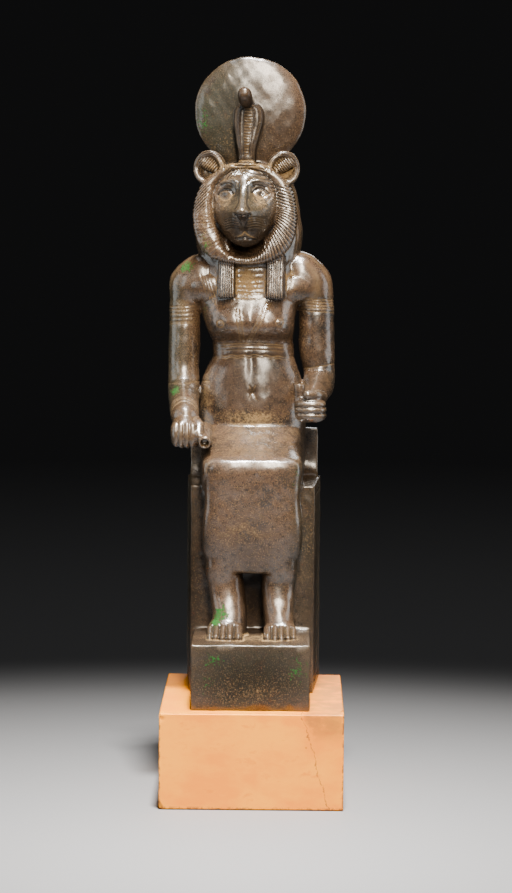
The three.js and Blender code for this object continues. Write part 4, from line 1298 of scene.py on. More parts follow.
    def _chase_mane(self, part: Skin) -> None:
        """Locks across the ring of mane, a rope on top of it, and long strands down the wig."""
        p, n = part.points, part.normals
        u, y, w = p.T
        rise = w - self.mane_centre
        tall = np.where(rise > 0, self.mane_up, self.mane_down)
        angle = np.arctan2(rise / tall, u / self.mane_wide)
        steps = np.linspace(-math.pi, math.pi, 720)
        line = self._oval(steps)
        length = np.concatenate([[0], np.cumsum(np.linalg.norm(np.diff(line, axis=0), axis=1))])
        ratio = np.hypot(u / self.mane_wide, rise / tall)
        shown = (y < -3) * (1 - self._ear_mask(p)) * ease(0.0, 0.25, -n[:, 1] + 0.35 * np.abs(n[:, 0]))
        ring = ease(*self.ring_inside, ratio) * (1 - ease(*self.ring_outside, ratio)) * shown
        ring *= ease(*self.ring_foot, rise) * (1 - ease(*self.ring_head, rise))
        below = np.interp(angle, steps, length) - np.interp(0, steps, length)
        below += 0.3 * self.mane_wide * (ratio - 1)
        beside = rise + 0.3 * (u - self.mane_wide)
        phase = np.where(rise < 0, below, beside) / self.lock_pitch
        right = ripples(phase + 0.06 * np.sin(5 * angle), 2.4) * ring * (u > 0)
        part.cut(right, 0.62, 0)
        slant = ripples((u - rise) * math.sqrt(0.5) / 1.35, 2.0) * ring * (u < 0)
        outer = ease(0.9, 0.98, ratio) * ease(-6, 1, rise)
        part.cut(slant * np.maximum(outer, ease(12, 14, rise)), 0.6, 0.2)
        worn = ring * (u < 0) * ease(0, -7, rise)
        part.height -= 0.10 * undulation(p, 4.2, 16, 21) * worn + 0.16 * ripples(phase, 2) * worn
        top = ease(*self.ring_head, rise) * (1 - ease(*self.rope_top, rise)) * (np.abs(u) < 13) * (y < -3)
        part.cut(bell(np.hypot(u / 7.2, (rise - 26.2) / 1.9) - 1, 0.16) * top, 0.4, 0.6)
        behind = ease(-4, 2, y) * ease(104, 108, w) * (1 - ease(184, 188, w)) * (1 - self._ear_mask(p))
        strands = np.arctan2(u, y - 8) * 18 / 2.6
        part.cut(ripples(strands, 2) * behind * (w < 189), 0.22, 0.3)

    def _chase_ears(self, part: Skin) -> None:
        """Double line round each rim, and combed hair across the tuft in each hollow."""
        u, y, w = part.points.T
        for side in SIDES:
            eu, ew = (u - side * self.ear_out) * side, w - self.ear_level
            radius = np.hypot(eu / self.ear_wide, ew / self.ear_tall)
            face = (y < -2) & (radius < 9.5) & (w > 178)
            upper = ease(-3, 1, ew)
            part.cut((bell(radius - 7.9, 0.34) + 0.7 * bell(radius - 6.7, 0.3)) * upper * face, 0.55, 0.2)
            c, s = math.cos(self.tuft_tilt), math.sin(self.tuft_tilt)
            du, dw = eu - self.tuft_place[0], ew - self.tuft_place[1]
            along, across = du * c + dw * s, dw * c - du * s
            edge = np.hypot(along / self.tuft_half, across / np.where(across > 0, 5.2, 2.4))
            tuft = ease(1.12, 0.9, edge) * face * (y < -5.6)
            part.cut(ripples((along + across * 0.2) / 1.42, 1.6) * tuft, 0.6, 0)

    def _chase_lappets(self, part: Skin) -> None:
        """Flutes from top to bottom of each lappet."""
        u, y, w = part.points.T
        for side in SIDES:
            x = u - side * self.lappet_out - self.lappet_shift
            strap = (np.abs(x) < 6.2) * (y < -8) * ease(110.5, 111.5, w) * (1 - ease(132, 137, w))
            part.cut(ripples(x / 1.5 + 0.5, 1.4) * strap, 0.65, 0)

    def _chase_cobra(self, part: Skin) -> None:
        """Three bands down the hood, rungs on the middle one, and two eyes."""
        u, y, w = part.points.T
        hood = keyed(self.hood, np.clip(w, 189, 227))
        half, u = hood[:, 1], u - hood[:, 5]
        front = (y < -5.5) * ease(195, 197, w) * (1 - ease(224.5, 226, w)) * (np.abs(u) < half)
        part.cut(bell(np.abs(u) - 0.34 * half, 0.4) * front, 0.45, 0.2)
        part.cut(bell(np.abs(u) - 0.8 * half, 0.3) * front, 0.25, 0.2)
        part.cut(ripples(w / 1.7) * (np.abs(u) < 0.26 * half) * front, 0.25, 0.6)
        base = (y < -5) * ease(189.5, 190.5, w) * (1 - ease(195, 196, w)) * (np.abs(u) < 7)
        part.cut(ripples((w - 190.4) / 1.9, 1.4) * base, 0.4, 0)
        part.height -= 0.6 * bell(np.hypot(np.abs(y + 18), w - 233), 0.8) * (np.abs(u) > 2.6) * (w > 226)

    def _chase_face(self, part: Skin) -> None:
        """Lids, pupils, brows, cheek lines, nostrils, whiskers, lips and the thin ridge round the face."""
        y = part.points[:, 1]
        sheet = part.points[:, [0, 2]] - [0, self.nose_level]
        u, v = sheet.T
        level = v - self.face_centre + self.nose_level
        edge = np.hypot(u / self.face_wide, level / np.where(level > 0, self.face_top, self.face_chin))
        face = ease(0.05, 0.3, -part.normals[:, 1]) * (y < -9.5) * ease(1.02, 0.97, edge)
        rows = list(self.face_lines)
        for upper, lower in zip(self.upper_lids, self.lower_lids):
            fold = [(a, b + 1.35) for a, b in upper[:-1]]
            rows += [(upper, 0.6, 0.85, 0.2), (fold, 0.55, -0.3, 0), (lower, 0.45, 0.4, 1)]
        for k in range(self.whisker_lines):
            drop = self.whisker_pitch * k
            for line, *how in self.whiskers:
                *inner, tip = line
                hair = [*((a, b - drop) for a, b in inner), (tip[0], tip[1] - 0.97 * drop)]
                rows.append((hair, *how))
        for line, width, depth, filled in rows:
            part.cut(stroke(sheet, line, width, face), depth, filled)
        for pu, pv in self.pupils:
            r = np.hypot((u - pu) / 1.15, v - pv)
            part.height += (0.3 * bell(r, 2.3) - 0.95 * bell(r, 1.2)) * face
            # Painted shade in each pupil's pit.
            part.shade_carving(bell(r, 1.7) * face)
        for nu, nv in self.nostrils:
            part.height -= 0.8 * mound(u - nu, v - nv, 0.9, 0.7) * face
        nu, nv = self.nose_leather
        # Painted shade on the nose leather under the nose tip.
        part.shade_carving(0.8 * mound(u - nu, v - nv, 3.6, 2.9, 3) * face)
        part.height += 0.45 * bell(edge - 0.955, 0.022) * (y < -9.5) * ease(0, 8, v)


class Remains(Enum):
    """What time has left on the bronze, with the painted shade in its carving and where shade falls, each as
    one named attribute of its mesh.
    """

    HOLLOW = "hollow"
    FILLED = "filled"
    # Painted shade in carved lines, pupils and the nose leather.
    CARVED_SHADE = "carved_shade"
    SEDIMENT = "sediment"
    VERDIGRIS = "verdigris"
    COOL = "cool"
    # Painted shade where shade falls, mixed with dull grime that takes the coat off.
    SHADE_AND_GRIME = "shade_and_grime"


@dataclass
class Casting:
    """The bronze in one piece: its forms are melted together, chased, thinned where flat, aged, and given
    painted shade.
    """

    name: str = "bronze_goddess_cast"
    voxel: float = 0.46
    most_triangles: int = 186000
    throne: Throne = field(default_factory=Throne)
    figure: Figure = field(default_factory=Figure)
    head: Head = field(default_factory=Head)
    # Clouds of the patina, and in the last table of painted shade: middle, three half-widths, strength.
    sediment: Rows = (
        (-5, 20, 302, 11, 14, 14, 1.0),
        (-27, 28, 298, 6, 8, 12, 0.55),
        (20, 27, 302, 6, 8, 12, 0.55),
        (-2, -22, 205, 34, 22, 7, 0.6),
        (-2, 2, 214, 34, 18, 8, 0.7),
        (-3, 14, 221, 26, 8, 5, 0.95),
        (-31, 20, 232, 6, 16, 24, 0.65),
        (26, 16, 230, 6, 15, 20, 0.7),
        (-34, 26, 262, 5, 9, 22, 0.5),
        (28, 28, 262, 5, 9, 22, 0.5),
        (-43, 20, 262, 8, 12, 20, 0.3),
        (-40, -14, 222, 9, 14, 8, 0.35),
        (-20.5, 6, 351, 7, 7, 7, 0.85),
        (3.5, 6, 351, 7, 7, 7, 0.85),
        (-7, 18, 372.5, 24, 9, 5, 0.85),
        (-28, 24, 369, 10, 8, 9, 0.65),
        (16, 24, 369, 10, 8, 9, 0.6),
        (-30, 19, 336, 7, 10, 22, 0.5),
        (18, 19, 348, 6, 10, 8, 0.4),
        (-5, 33, 384, 26, 6, 10, 0.35),
        (-3, 20, 396, 10, 5, 16, 0.4),
        (-16, -30, 98, 14, 12, 4, 0.6),
        (17, -30, 98, 14, 12, 4, 0.6),
        (-1, -36, 94.5, 36, 28, 2.0, 0.6),
        (-1, -26, 158, 26, 8, 34, 0.38),
        (-8, -29, 158, 5, 4, 4, 0.5),
        (2, -29, 155, 4, 4, 4, 0.5),
        (7, -28, 140, 6, 4, 4, 0.5),
        (-17, -28, 153, 6, 4, 4, 0.4),
        (-1, -62, 66, 30, 4, 11, 0.5),
        (34, 10, 150, 6, 8, 22, 0.6),
        (-34, 10, 120, 6, 8, 30, 0.3),
    )
    verdigris: Rows = (
        (-42, 33, 310, 5, 7, 5, 0.85),
        (-48, 16, 236, 4, 9, 5, 0.8),
        (-22.5, -29, 105, 3.6, 9, 5.5, 1.0),
        (-19, -29, 109.5, 3.8, 9, 4.5, 1.0),
        (-15, -31, 107, 3.2, 9, 3, 0.6),
        (-31, 14, 322, 5, 8, 12, 0.5),
        (-33, 34, 396, 6, 5, 14, 0.55),
        (-31, 28, 284, 5, 7, 9, 0.4),
        (-22, -62, 86, 9, 4, 5, 0.5),
        (26, -62, 80, 9, 4, 12, 0.5),
        (-26, -62, 70, 6, 4, 10, 0.35),
        (25, -26, 188, 4, 6, 14, 0.4),
    )
    cool: Rows = (
        (-24, 34, 404, 24, 8, 34, 1.0),
        (-4, 10, 371, 6, 6, 4, 1.0),
        (-7, 0, 348, 19, 24, 25, 0.6),
        (-50, 30, 270, 9, 30, 50, 0.6),
        (-1, -62, 75, 40, 6, 26, 0.95),
        (30, -12, 150, 8, 30, 60, 0.5),
        (46, 40, 130, 14, 60, 90, 0.8),
        (-46, 40, 130, 14, 60, 90, 0.8),
        (20, 26, 350, 8, 20, 30, 0.4),
    )
    # Painted shade mixed with dull grime: darkens and dulls the bronze beside and between the legs, on the
    # footrest, under the chin and under the cobra, and damps the coat on the disc, the belly and a shoulder.
    shade_and_grime: Rows = (
        (-40, 12, 122, 12, 44, 66, 1.0),
        (39, 12, 122, 12, 44, 66, 0.9),
        (0, -5, 112, 11, 30, 28, 1.0),
        (-1, -56, 74, 50, 26, 24, 0.95),
        (-1, -36, 96, 50, 30, 8, 0.45),
        (-2, -6, 320, 16, 14, 8, 1.0),
        (-3, 0, 335, 16, 18, 10, 0.8),
        (1, 18, 258, 28, 8, 4, 0.35),
        (-2, 26, 378, 7, 8, 6, 0.9),
        (-1, 20, 408, 9, 9, 12, 0.7),
        (-12, 26, 404, 27, 40, 34, 0.75),
        (17, 26, 392, 20, 40, 24, 0.55),
        (0, 0, 243, 24, 60, 20, 0.9),
        (-1, -24, 146, 34, 14, 15, 0.35),
        (-1, -14, 97, 50, 9, 6, 0.9),
        (38, 26, 292, 14, 20, 40, 0.3),
    )

    def build(self) -> bpy.types.Object:
        """The finished bronze, riding on the part and standing for its solid."""
        figure = [self.head.hollowed(form) for form in self.figure.shells()]
        skin = self._melted(joined([*self.throne.shells(), *figure, *self.head.shells()]))
        LOG.info("melted %d points", len(skin.points))
        self._soften(skin)
        uneven = 0.11 * undulation(skin.points, 26, 14, 3) + 0.055 * undulation(skin.points, 8, 18, 5)
        skin.height += uneven + 0.022 * undulation(skin.points, 3.4, 22, 8)
        for piece in (self.throne, self.figure, self.head):
            piece.carve(skin)
        skin.push()
        hollow = skin.hollows(8)
        self._keep_inside(skin)
        marks = {Remains.HOLLOW: hollow, Remains.FILLED: skin.filled, Remains.CARVED_SHADE: skin.carved_shade}
        piece = self._thinned(skin, marks)
        self._age(piece)
        piece.data.materials.append(BronzeFinish().material())
        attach(piece, "root")
        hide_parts("bronze_goddess")
        return piece

    def _soften(self, skin: Skin) -> None:
        """Blunts the edges, rounds the inner corners of the body, and lets the dress run into the shins."""
        s = SIZES
        x, y, z = skin.points.T
        seat = (z < s.seat + 31) * (np.abs(x - s.throne_place) > 30)
        blocky = ease(2, -2, z - s.sole) + ease(1, 3, y - s.throne_front) * seat
        fine = ease(s.seat + 108, s.seat + 116, z)
        skin.relax(6, 0.6 - 0.2 * np.clip(blocky, 0, 1) - 0.1 * fine)
        skin.relax(8, 0.5 * fine)
        fists = (z > 200) & (z < 240) & (y < s.rest - 56) & (np.abs(x) > 22)
        feet = (z < 108) & (y < s.throne_front - 29)
        body = (1 - fine) * (1 - fists) * (1 - feet) * (1 - 0.7 * np.clip(blocky, 0, 1))
        skin.fillet(body)
        x, y, z = skin.points.T
        skin.relax(22, 0.7 * bell(z - 133.5, 6) * ease(s.throne_front - 1, s.throne_front - 4, y))
        x, y, z = skin.points.T
        ahead = s.throne_front - y
        skin.relax(30, 0.85 * bell(z - 113, 9) * ease(12, 16, ahead) * ease(36, 31, ahead))

    def _melted(self, shell: Shell) -> Skin:
        """One outer skin of all crossing forms, on a grid of voxels."""
        thing = added("forms", mesh_of("forms", shell.points, shell.faces))
        melt = thing.modifiers.new("melt", "REMESH")
        melt.mode = "VOXEL"
        melt.voxel_size = self.voxel
        made = evaluated(thing)
        quads = np.empty(len(made.loops), np.int32)
        made.loops.foreach_get("vertex_index", quads)
        bpy.data.objects.remove(thing)
        return self._outermost(places(made), quads.reshape(-1, 4))

    @staticmethod
    def _outermost(points: Array, quads: Array) -> Skin:
        """The largest connected skin alone, without the small sealed ones that voxels leave inside.

        Each point takes the lowest label among its neighbours, and labels are followed to their own labels,
        until nothing changes.
        """
        a, b = quads.ravel(), np.roll(quads, -1, 1).ravel()
        label = np.arange(len(points))
        while True:
            low = np.minimum(label[a], label[b])
            if (label[a] == label[b]).all():
                break
            np.minimum.at(label, label[a], low)
            np.minimum.at(label, label[b], low)
            while (label != label[label]).any():
                label = label[label]
        kept = label == np.bincount(label).argmax()
        number = np.cumsum(kept) - 1
        return Skin(points[kept], number[quads[kept[quads[:, 0]]]])

    @staticmethod
    def _keep_inside(skin: Skin) -> None:
        """Holds every point inside the solid's own box."""
        low, high = (np.array(corner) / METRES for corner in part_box("bronze_goddess"))
        skin.points = np.clip(skin.points, low, high)

    def _thinned(self, skin: Skin, marks: dict[Remains, Array]) -> bpy.types.Object:
        """The skin with few triangles where it is flat and many where it is carved."""
        mesh = mesh_of(self.name, skin.points * METRES, skin.quads)
        for remains, amount in marks.items():
            mark(mesh, remains, amount)
        thing = added(self.name, mesh)
        thin = thing.modifiers.new("thin", "DECIMATE")
        thin.ratio = self.most_triangles / (2 * len(skin.quads))
        made = evaluated(thing)
        thing.modifiers.clear()
        thing.data = made
        made.shade_smooth()
        LOG.info("%s has %d faces", self.name, len(made.polygons))
        return thing

    def _age(self, thing: bpy.types.Object) -> None:
        """Marks the points with sediment, verdigris, cool grey-green patina, and painted shade mixed with
        dull grime.

        Each row of a table is an oval cloud. What is clear of it is 1 - strength * exp(-away^2), and these
        shares multiply.
        """
        points = places(thing.data) / METRES
        tables = {
            Remains.SEDIMENT: self.sediment,
            Remains.VERDIGRIS: self.verdigris,
            Remains.COOL: self.cool,
            Remains.SHADE_AND_GRIME: self.shade_and_grime,
        }
        for remains, clouds in tables.items():
            clear = np.ones(len(points))
            for x, y, z, a, b, c, strength in clouds:
                away = (((points - [x, y, z]) / [a, b, c]) ** 2).sum(1)
                clear *= 1 - strength * np.exp(-away)
            mark(thing.data, remains, 1 - clear)


def mesh_of(name: str, points: Array, faces: Array) -> bpy.types.Mesh:
    """A Blender mesh from points and faces that all have the same number of corners."""
    mesh = bpy.data.meshes.new(name)
    corners = faces.shape[1]
    mesh.vertices.add(len(points))
    mesh.vertices.foreach_set("co", np.ascontiguousarray(points, np.float32).ravel())
    mesh.loops.add(faces.size)
    mesh.loops.foreach_set("vertex_index", np.ascontiguousarray(faces, np.int32).ravel())
    mesh.polygons.add(len(faces))
    mesh.polygons.foreach_set("loop_start", np.arange(0, faces.size, corners, dtype=np.int32))
    mesh.update(calc_edges=True)
    mesh.validate()
    return mesh


def places(mesh: bpy.types.Mesh) -> Array:
    """The places of a mesh's points."""
    points = np.empty(len(mesh.vertices) * 3)
    mesh.vertices.foreach_get("co", points)
    return points.reshape(-1, 3)


def mark(mesh: bpy.types.Mesh, remains: Remains, amount: Array) -> None:
    """Writes how much of something each point of a mesh has."""
    layer = mesh.attributes.new(remains.value, "FLOAT", "POINT")
    layer.data.foreach_set("value", amount.astype(np.float32))


def added(name: str, data: bpy.types.ID) -> bpy.types.Object:
    """A new object in the scene, with its data."""
    thing = bpy.data.objects.new(name, data)
    bpy.context.collection.objects.link(thing)
    return thing


def evaluated(thing: bpy.types.Object) -> bpy.types.Mesh:
    """A new mesh of an object with its modifiers applied."""
    graph = bpy.context.evaluated_depsgraph_get()
    return bpy.data.meshes.new_from_object(thing.evaluated_get(graph))


@dataclass
class Plinth:
    """The block of marble: slightly blunt edges, with small scooped chips."""

    name: str = "marble_block"
    blunt: float = 0.8
    step: float = 1.3
    edge_ticks: Sequence[float] = (0, 0.16, 0.34, 0.56, 0.8, 1.15, 1.6, 2.2, 3)
    # Chips: place, size, depth, way out of the block.
    chips: Rows = (
        (-53.5, -73, 55.6, 2.6, 0.9, -1, -1, 1),
        (-51.8, -73, 52.8, 1.6, 0.7, -0.1, -1, 0.1),
        (53.5, -73, 52, 2.2, 0.5, 1, -1, 0),
        (53.5, -73, 45.5, 3.4, 0.7, 1, -1, 0),
        (53.5, -73, 22, 2.6, 0.8, 1, -1, 0),
        (53.5, -73, 12, 3.2, 0.9, 1, -1, 0),
        (53.5, -73, 5.5, 2.4, 0.7, 1, -1, 0),
        (-53.5, -73, 29, 2, 0.6, -1, -1, 0),
        (-53.5, -73, 12.5, 2.4, 0.8, -1, -1, 0),
        (-53.5, -73, 2.5, 5, 1.3, -1, -1, -0.8),
        (52.5, -60, 56, 2.6, 0.5, 1, 0, 1),
        (53.5, -30, 56, 3.6, 0.6, 1, 0, 1),
        (-53.5, 12, 56, 3.2, 0.6, -1, 0, 1),
        (-53.5, 73, 20, 4, 1.0, -1, 1, 0),
        (53.5, 73, 38, 3.2, 0.9, 1, 1, 0),
        (20, 73, 0, 5, 1.0, 0, 1, -1),
        (-20, -73, 0, 3, 0.5, 0, -1, -1),
        (31, -73, 0, 3.4, 0.5, 0, -1, -1),
    )

    def build(self) -> bpy.types.Object:
        """The finished block, riding on the part and standing for its solid."""
        s = SIZES
        half = np.array([s.plinth_width, s.plinth_depth, s.plinth_height]) / 2
        points, faces = self._box(half)
        inner = np.clip(points, self.blunt - half, half - self.blunt)
        away = points - inner
        length = np.linalg.norm(away, axis=1)[:, None]
        points = inner + away / np.maximum(length, 1e-9) * np.minimum(length, self.blunt) + [0, 0, half[2]]
        for x, y, z, size, depth, *aim in self.chips:
            points = self._scooped(points, np.array([x, y, z], float), size, depth, np.array(aim, float))
        thing = added(self.name, mesh_of(self.name, points * METRES, faces))
        thing.data.shade_smooth()
        thing.data.materials.append(MarbleFinish().material())
        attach(thing, "root")
        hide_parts("stone_plinth")
        return thing

    def _ticks(self, half: float) -> Array:
        """Places along one side: crowded at the ends, even between them."""
        close = np.array(self.edge_ticks)
        inner = half - close[-1]
        between = np.linspace(-inner, inner, int(2 * inner / self.step) + 1)[1:-1]
        return np.concatenate([-half + close, between, (half - close)[::-1]])

    def _box(self, half: Array) -> tuple[Array, Array]:
        """Six gridded sides of a box with their common edges merged."""
        points: list[Array] = []
        faces: list[Array] = []
        start = 0
        for axis in range(3):
            a, b = (axis + 1) % 3, (axis + 2) % 3
            ta, tb = self._ticks(half[a]), self._ticks(half[b])
            for side in SIDES:
                grid = np.empty((len(ta), len(tb), 3))
                grid[..., axis] = side * half[axis]
                grid[..., a], grid[..., b] = np.meshgrid(ta, tb, indexing="ij")
                index = np.arange(grid[..., 0].size).reshape(len(ta), len(tb)) + start
                corners = (index[:-1, :-1], index[1:, :-1], index[1:, 1:], index[:-1, 1:])
                quads = np.stack(corners, -1).reshape(-1, 4)
                faces.append(quads if side > 0 else quads[:, ::-1])
                points.append(grid.reshape(-1, 3))
                start += grid[..., 0].size
        loose = np.round(np.vstack(points), 5)
        merged, back = np.unique(loose, axis=0, return_inverse=True)
        return merged, back.reshape(-1)[np.vstack(faces)]

    @staticmethod
    def _scooped(points: Array, place: Array, size: float, depth: float, aim: Array) -> Array:
        """Pushes what lies inside a ball out to its surface. The ball reaches this deep at the place."""
        aim /= np.linalg.norm(aim)
        ball = size * size / (2 * depth) + depth / 2
        centre = place + aim * (ball - depth)
        away = points - centre
        gap = np.linalg.norm(away, axis=1)[:, None]
        ragged = 0.12 * undulation(points, 2.6, 8, 11)[:, None]
        near = (gap < ball + ragged) & (np.linalg.norm(points - place, axis=1)[:, None] < 2.4 * size)
        return np.where(near, centre + away / gap * (ball + ragged), points)


Colour = tuple[float, float, float]


class Value:
    """A number socket of a material: sums and products of it add Math nodes."""

    def __init__(self, paint: Paint, socket: bpy.types.NodeSocket) -> None:
        """Wraps a socket of one material."""
        self.paint = paint
        self.socket = socket

    def math(self, operation: str, *others: Value | float, flip: bool = False) -> Value:
        """Result of one Math node on this value and others, swapped where flip is set."""
        values: list[Value | float] = [self, *others]
        if flip:
            values.reverse()
        made = self.paint.node("ShaderNodeMath", {"operation": operation}, dict(enumerate(values)))
        return Value(self.paint, made.outputs[0])

    def __add__(self, other: Value | float) -> Value:
        """Sum."""
        return self.math("ADD", other)

    __radd__ = __add__

    def __mul__(self, other: Value | float) -> Value:
        """Product."""
        return self.math("MULTIPLY", other)

    __rmul__ = __mul__

    def __sub__(self, other: Value | float) -> Value:
        """Difference."""
        return self.math("SUBTRACT", other)

    def __rsub__(self, other: Value | float) -> Value:
        """Difference the other way round."""
        return self.math("SUBTRACT", other, flip=True)

    def clipped(self) -> Value:
        """This value held between 0 and 1."""
        made = self.paint.node("ShaderNodeClamp", {}, {0: self})
        return Value(self.paint, made.outputs[0])

    def step(self, low: float, high: float) -> Value:
        """Smooth step from 0 at low to 1 at high."""
        inputs = {"Value": self, "From Min": low, "From Max": high}
        made = self.paint.node("ShaderNodeMapRange", {"interpolation_type": "SMOOTHSTEP"}, inputs)
        return Value(self.paint, made.outputs[0])


class Paint:
    """Builds the nodes of one material."""

    def __init__(self, name: str) -> None:
        """Starts an empty material that reads Object coordinates."""
        self.material = bpy.data.materials.new(name)
        self.material.use_nodes = True
        self.tree = self.material.node_tree
        self.tree.nodes.clear()
        self.place = self.node("ShaderNodeTexCoord").outputs["Object"]

    def node(self, kind: str, settings: dict | None = None, inputs: dict | None = None) -> bpy.types.Node:
        """Adds a node.

        Args:
            kind: the node's type.
            settings: its own properties, set first.
            inputs: value, socket or Value for each socket by name or number.

        Returns:
            The node.
        """
        made = self.tree.nodes.new(kind)
        for name, value in (settings or {}).items():
            setattr(made, name, value)
        for name, value in (inputs or {}).items():
            socket = made.inputs[name]
            source = value.socket if isinstance(value, Value) else value
            if isinstance(source, bpy.types.NodeSocket):
                self.tree.links.new(source, socket)
            else:
                socket.default_value = (*source, 1.0) if socket.type == "RGBA" else source
        return made

    def noise(self, size: float, detail: float = 3.0, rough: float = 0.55, flat: float = 1) -> Value:
        """Cloudy noise whose clouds measure so many millimetres, and are this much flatter in height."""
        place = self.node("ShaderNodeMapping", {}, {"Vector": self.place, "Scale": (1, 1, flat)})
        inputs = {"Scale": 1 / (size * METRES), "Detail": detail, "Roughness": rough}
        inputs["Vector"] = place.outputs[0]
        return Value(self, self.node("ShaderNodeTexNoise", {}, inputs).outputs[0])

    def cells(self, size: float) -> Value:
        """Distance to the nearest of scattered points, so many millimetres apart, from 0 to about 1."""
        inputs = {"Vector": self.place, "Scale": 1 / (size * METRES)}
        return Value(self, self.node("ShaderNodeTexVoronoi", {}, inputs).outputs["Distance"])

    def remains(self, kind: Remains) -> Value:
        """How much of something the mesh has at each point."""
        return Value(self, self.node("ShaderNodeAttribute", {"attribute_name": kind.value}).outputs["Fac"])

    def axes(self) -> list[Value]:
        """The three Object coordinates."""
        split = self.node("ShaderNodeSeparateXYZ", {}, {0: self.place})
        return [Value(self, socket) for socket in split.outputs]

    def blend(self, share: Value | float, first: object, second: object) -> bpy.types.NodeSocket:
        """Colour between two colours or colour sockets."""
        return self.node("ShaderNodeMix", {"data_type": "RGBA"}, {0: share, 6: first, 7: second}).outputs[2]

    def finish(self, surface: dict, bumps: Sequence[tuple[Value, float, float]]) -> bpy.types.Material:
        """Closes the material.

        Args:
            surface: sockets of the Principled shader.
            bumps: height, distance in millimetres and strength of each layer of relief.

        Returns:
            The material.
        """
        below: dict = {}
        for height, distance, strength in bumps:
            inputs = {"Height": height, "Distance": distance * METRES, "Strength": strength, **below}
            below = {"Normal": self.node("ShaderNodeBump", {}, inputs).outputs[0]}
        shader = self.node("ShaderNodeBsdfPrincipled", {}, {**surface, **below})
        self.node("ShaderNodeOutputMaterial", {}, {"Surface": shader.outputs[0]})
        return self.material


@dataclass(frozen=True)
class BronzeFinish:
    """Polished dark brown patina over bronze, with sediment in the hollows and green and red spots, and
    painted shade in the hollows, in the grooves and where shade falls.
    """

    dark: Colour = (0.008, 0.0055, 0.004)
    brown: Colour = (0.060, 0.032, 0.016)
    cool: Colour = (0.020, 0.025, 0.014)
    metal: Colour = (0.150, 0.105, 0.065)
    sand: Colour = (0.150, 0.088, 0.038)
    pale: Colour = (0.360, 0.255, 0.130)
    green: Colour = (0.012, 0.085, 0.016)
    rust: Colour = (0.100, 0.018, 0.008)

    def material(self) -> bpy.types.Material:
        """The bronze's material."""
        paint = Paint("patinated_bronze")
        hollow, filled, carved_shade, sediment, verdigris, cool, shade_and_grime = (paint.remains(kind) for kind in Remains)
        broad, cloud, mottle = paint.noise(30, 3), paint.noise(8, 5, 0.65), paint.noise(2.4, 5, 0.7)
        specks, fine, grain = paint.noise(1.2, 6, 0.75), paint.noise(0.85, 3, 0.65), paint.noise(0.6, 3, 0.6)
        colour = paint.blend((broad * 0.5 + cloud * 0.5).step(0.34, 0.54), self.dark, self.brown)
        colour = paint.blend((mottle.step(0.5, 0.64) * 0.6).clipped(), colour, self.dark)
        colour = paint.blend((cool * cloud.step(0.25, 0.5) * 0.95).clipped(), colour, self.cool)
        worn = (hollow.step(-0.04, -0.13) * mottle.step(0.32, 0.55) * (1.0 - shade_and_grime)).clipped()
        colour = paint.blend(worn * 0.5, colour, self.metal)
        # Painted shade in the hollows.
        colour = paint.blend((hollow.step(0.04, 0.2) * 0.6).clipped(), colour, self.dark)
        # Painted shade where shade falls, mixed with dull grime.
        colour = paint.blend((shade_and_grime * (0.45 + cloud)).clipped(), colour, self.dark)
        red = (cloud.step(0.60, 0.70) * specks.step(0.53, 0.64) * 0.7).clipped()
        colour = paint.blend(red, colour, self.rust)
        spread = (sediment * 0.8 + 0.26 - shade_and_grime * 0.14).clipped()
        flecks = (fine.step(0.55, 0.62) * spread * 0.75).clipped()
        packed = (hollow.step(0.03, 0.12) * (0.1 + sediment * 0.6)).clipped()
        amount = sediment + packed + (specks - 0.5) * 2.3 + cloud - 1.05
        dusty = (amount.step(-0.14, 0.34) * (sediment + packed + 0.1).clipped()).clipped()
        lines = (filled * (0.3 + cloud * 0.9 + (specks - 0.5) * 1.4)).clipped()
        dusty = dusty.math("MAXIMUM", lines).math("MAXIMUM", flecks)
        colour = paint.blend(dusty, colour, paint.blend(grain.step(0.4, 0.65), self.sand, self.pale))
        # Painted shade in grooves that hold little sediment, and in the carved shade marks.
        groove = (hollow.step(0.1, 0.2) * (1.0 - filled * 1.3)).clipped()
        groove = groove.math("MAXIMUM", carved_shade.step(0.25, 0.7))
        colour = paint.blend(groove * 0.85, colour, self.dark)
        pitted = (grain.step(0.53, 0.61) * (0.55 + sediment * 0.3)).clipped()
        colour = paint.blend(pitted, colour, self.dark)
        mould = (verdigris * 1.25 - 0.62 + (mottle - 0.5) * 1.3 + (specks - 0.5) * 1.8).step(0.0, 0.28)
        colour = paint.blend((mould * (0.1 + specks * 1.3)).clipped(), colour, self.green)
        dull = (dusty + mould).clipped()
        rough = 0.40 + cloud * 0.12 + mottle * 0.14 + dull * 0.30 - worn * 0.1 + shade_and_grime * 0.2
        waxed = (0.95 - dull * 1.1 - mottle.step(0.45, 0.65) * 0.3) * (1.0 - shade_and_grime)
        surface = {
            "Base Color": colour,
            "Metallic": (0.1 - dull * 0.1 + worn * 0.5).clipped(),
            "Roughness": rough.clipped(),
            "Coat Weight": waxed.clipped(),
            "Coat Roughness": 0.27,
            "Coat IOR": 1.9,
            "Specular IOR Level": 0.06,
        }
        pits = paint.cells(1.9).step(0.0, 0.22) * specks.step(0.35, 0.6)
        powder = fine + dull * specks
        return paint.finish(surface, [(mottle, 0.4, 0.35), (pits, 0.14, 0.5), (powder, 0.22, 0.5)])


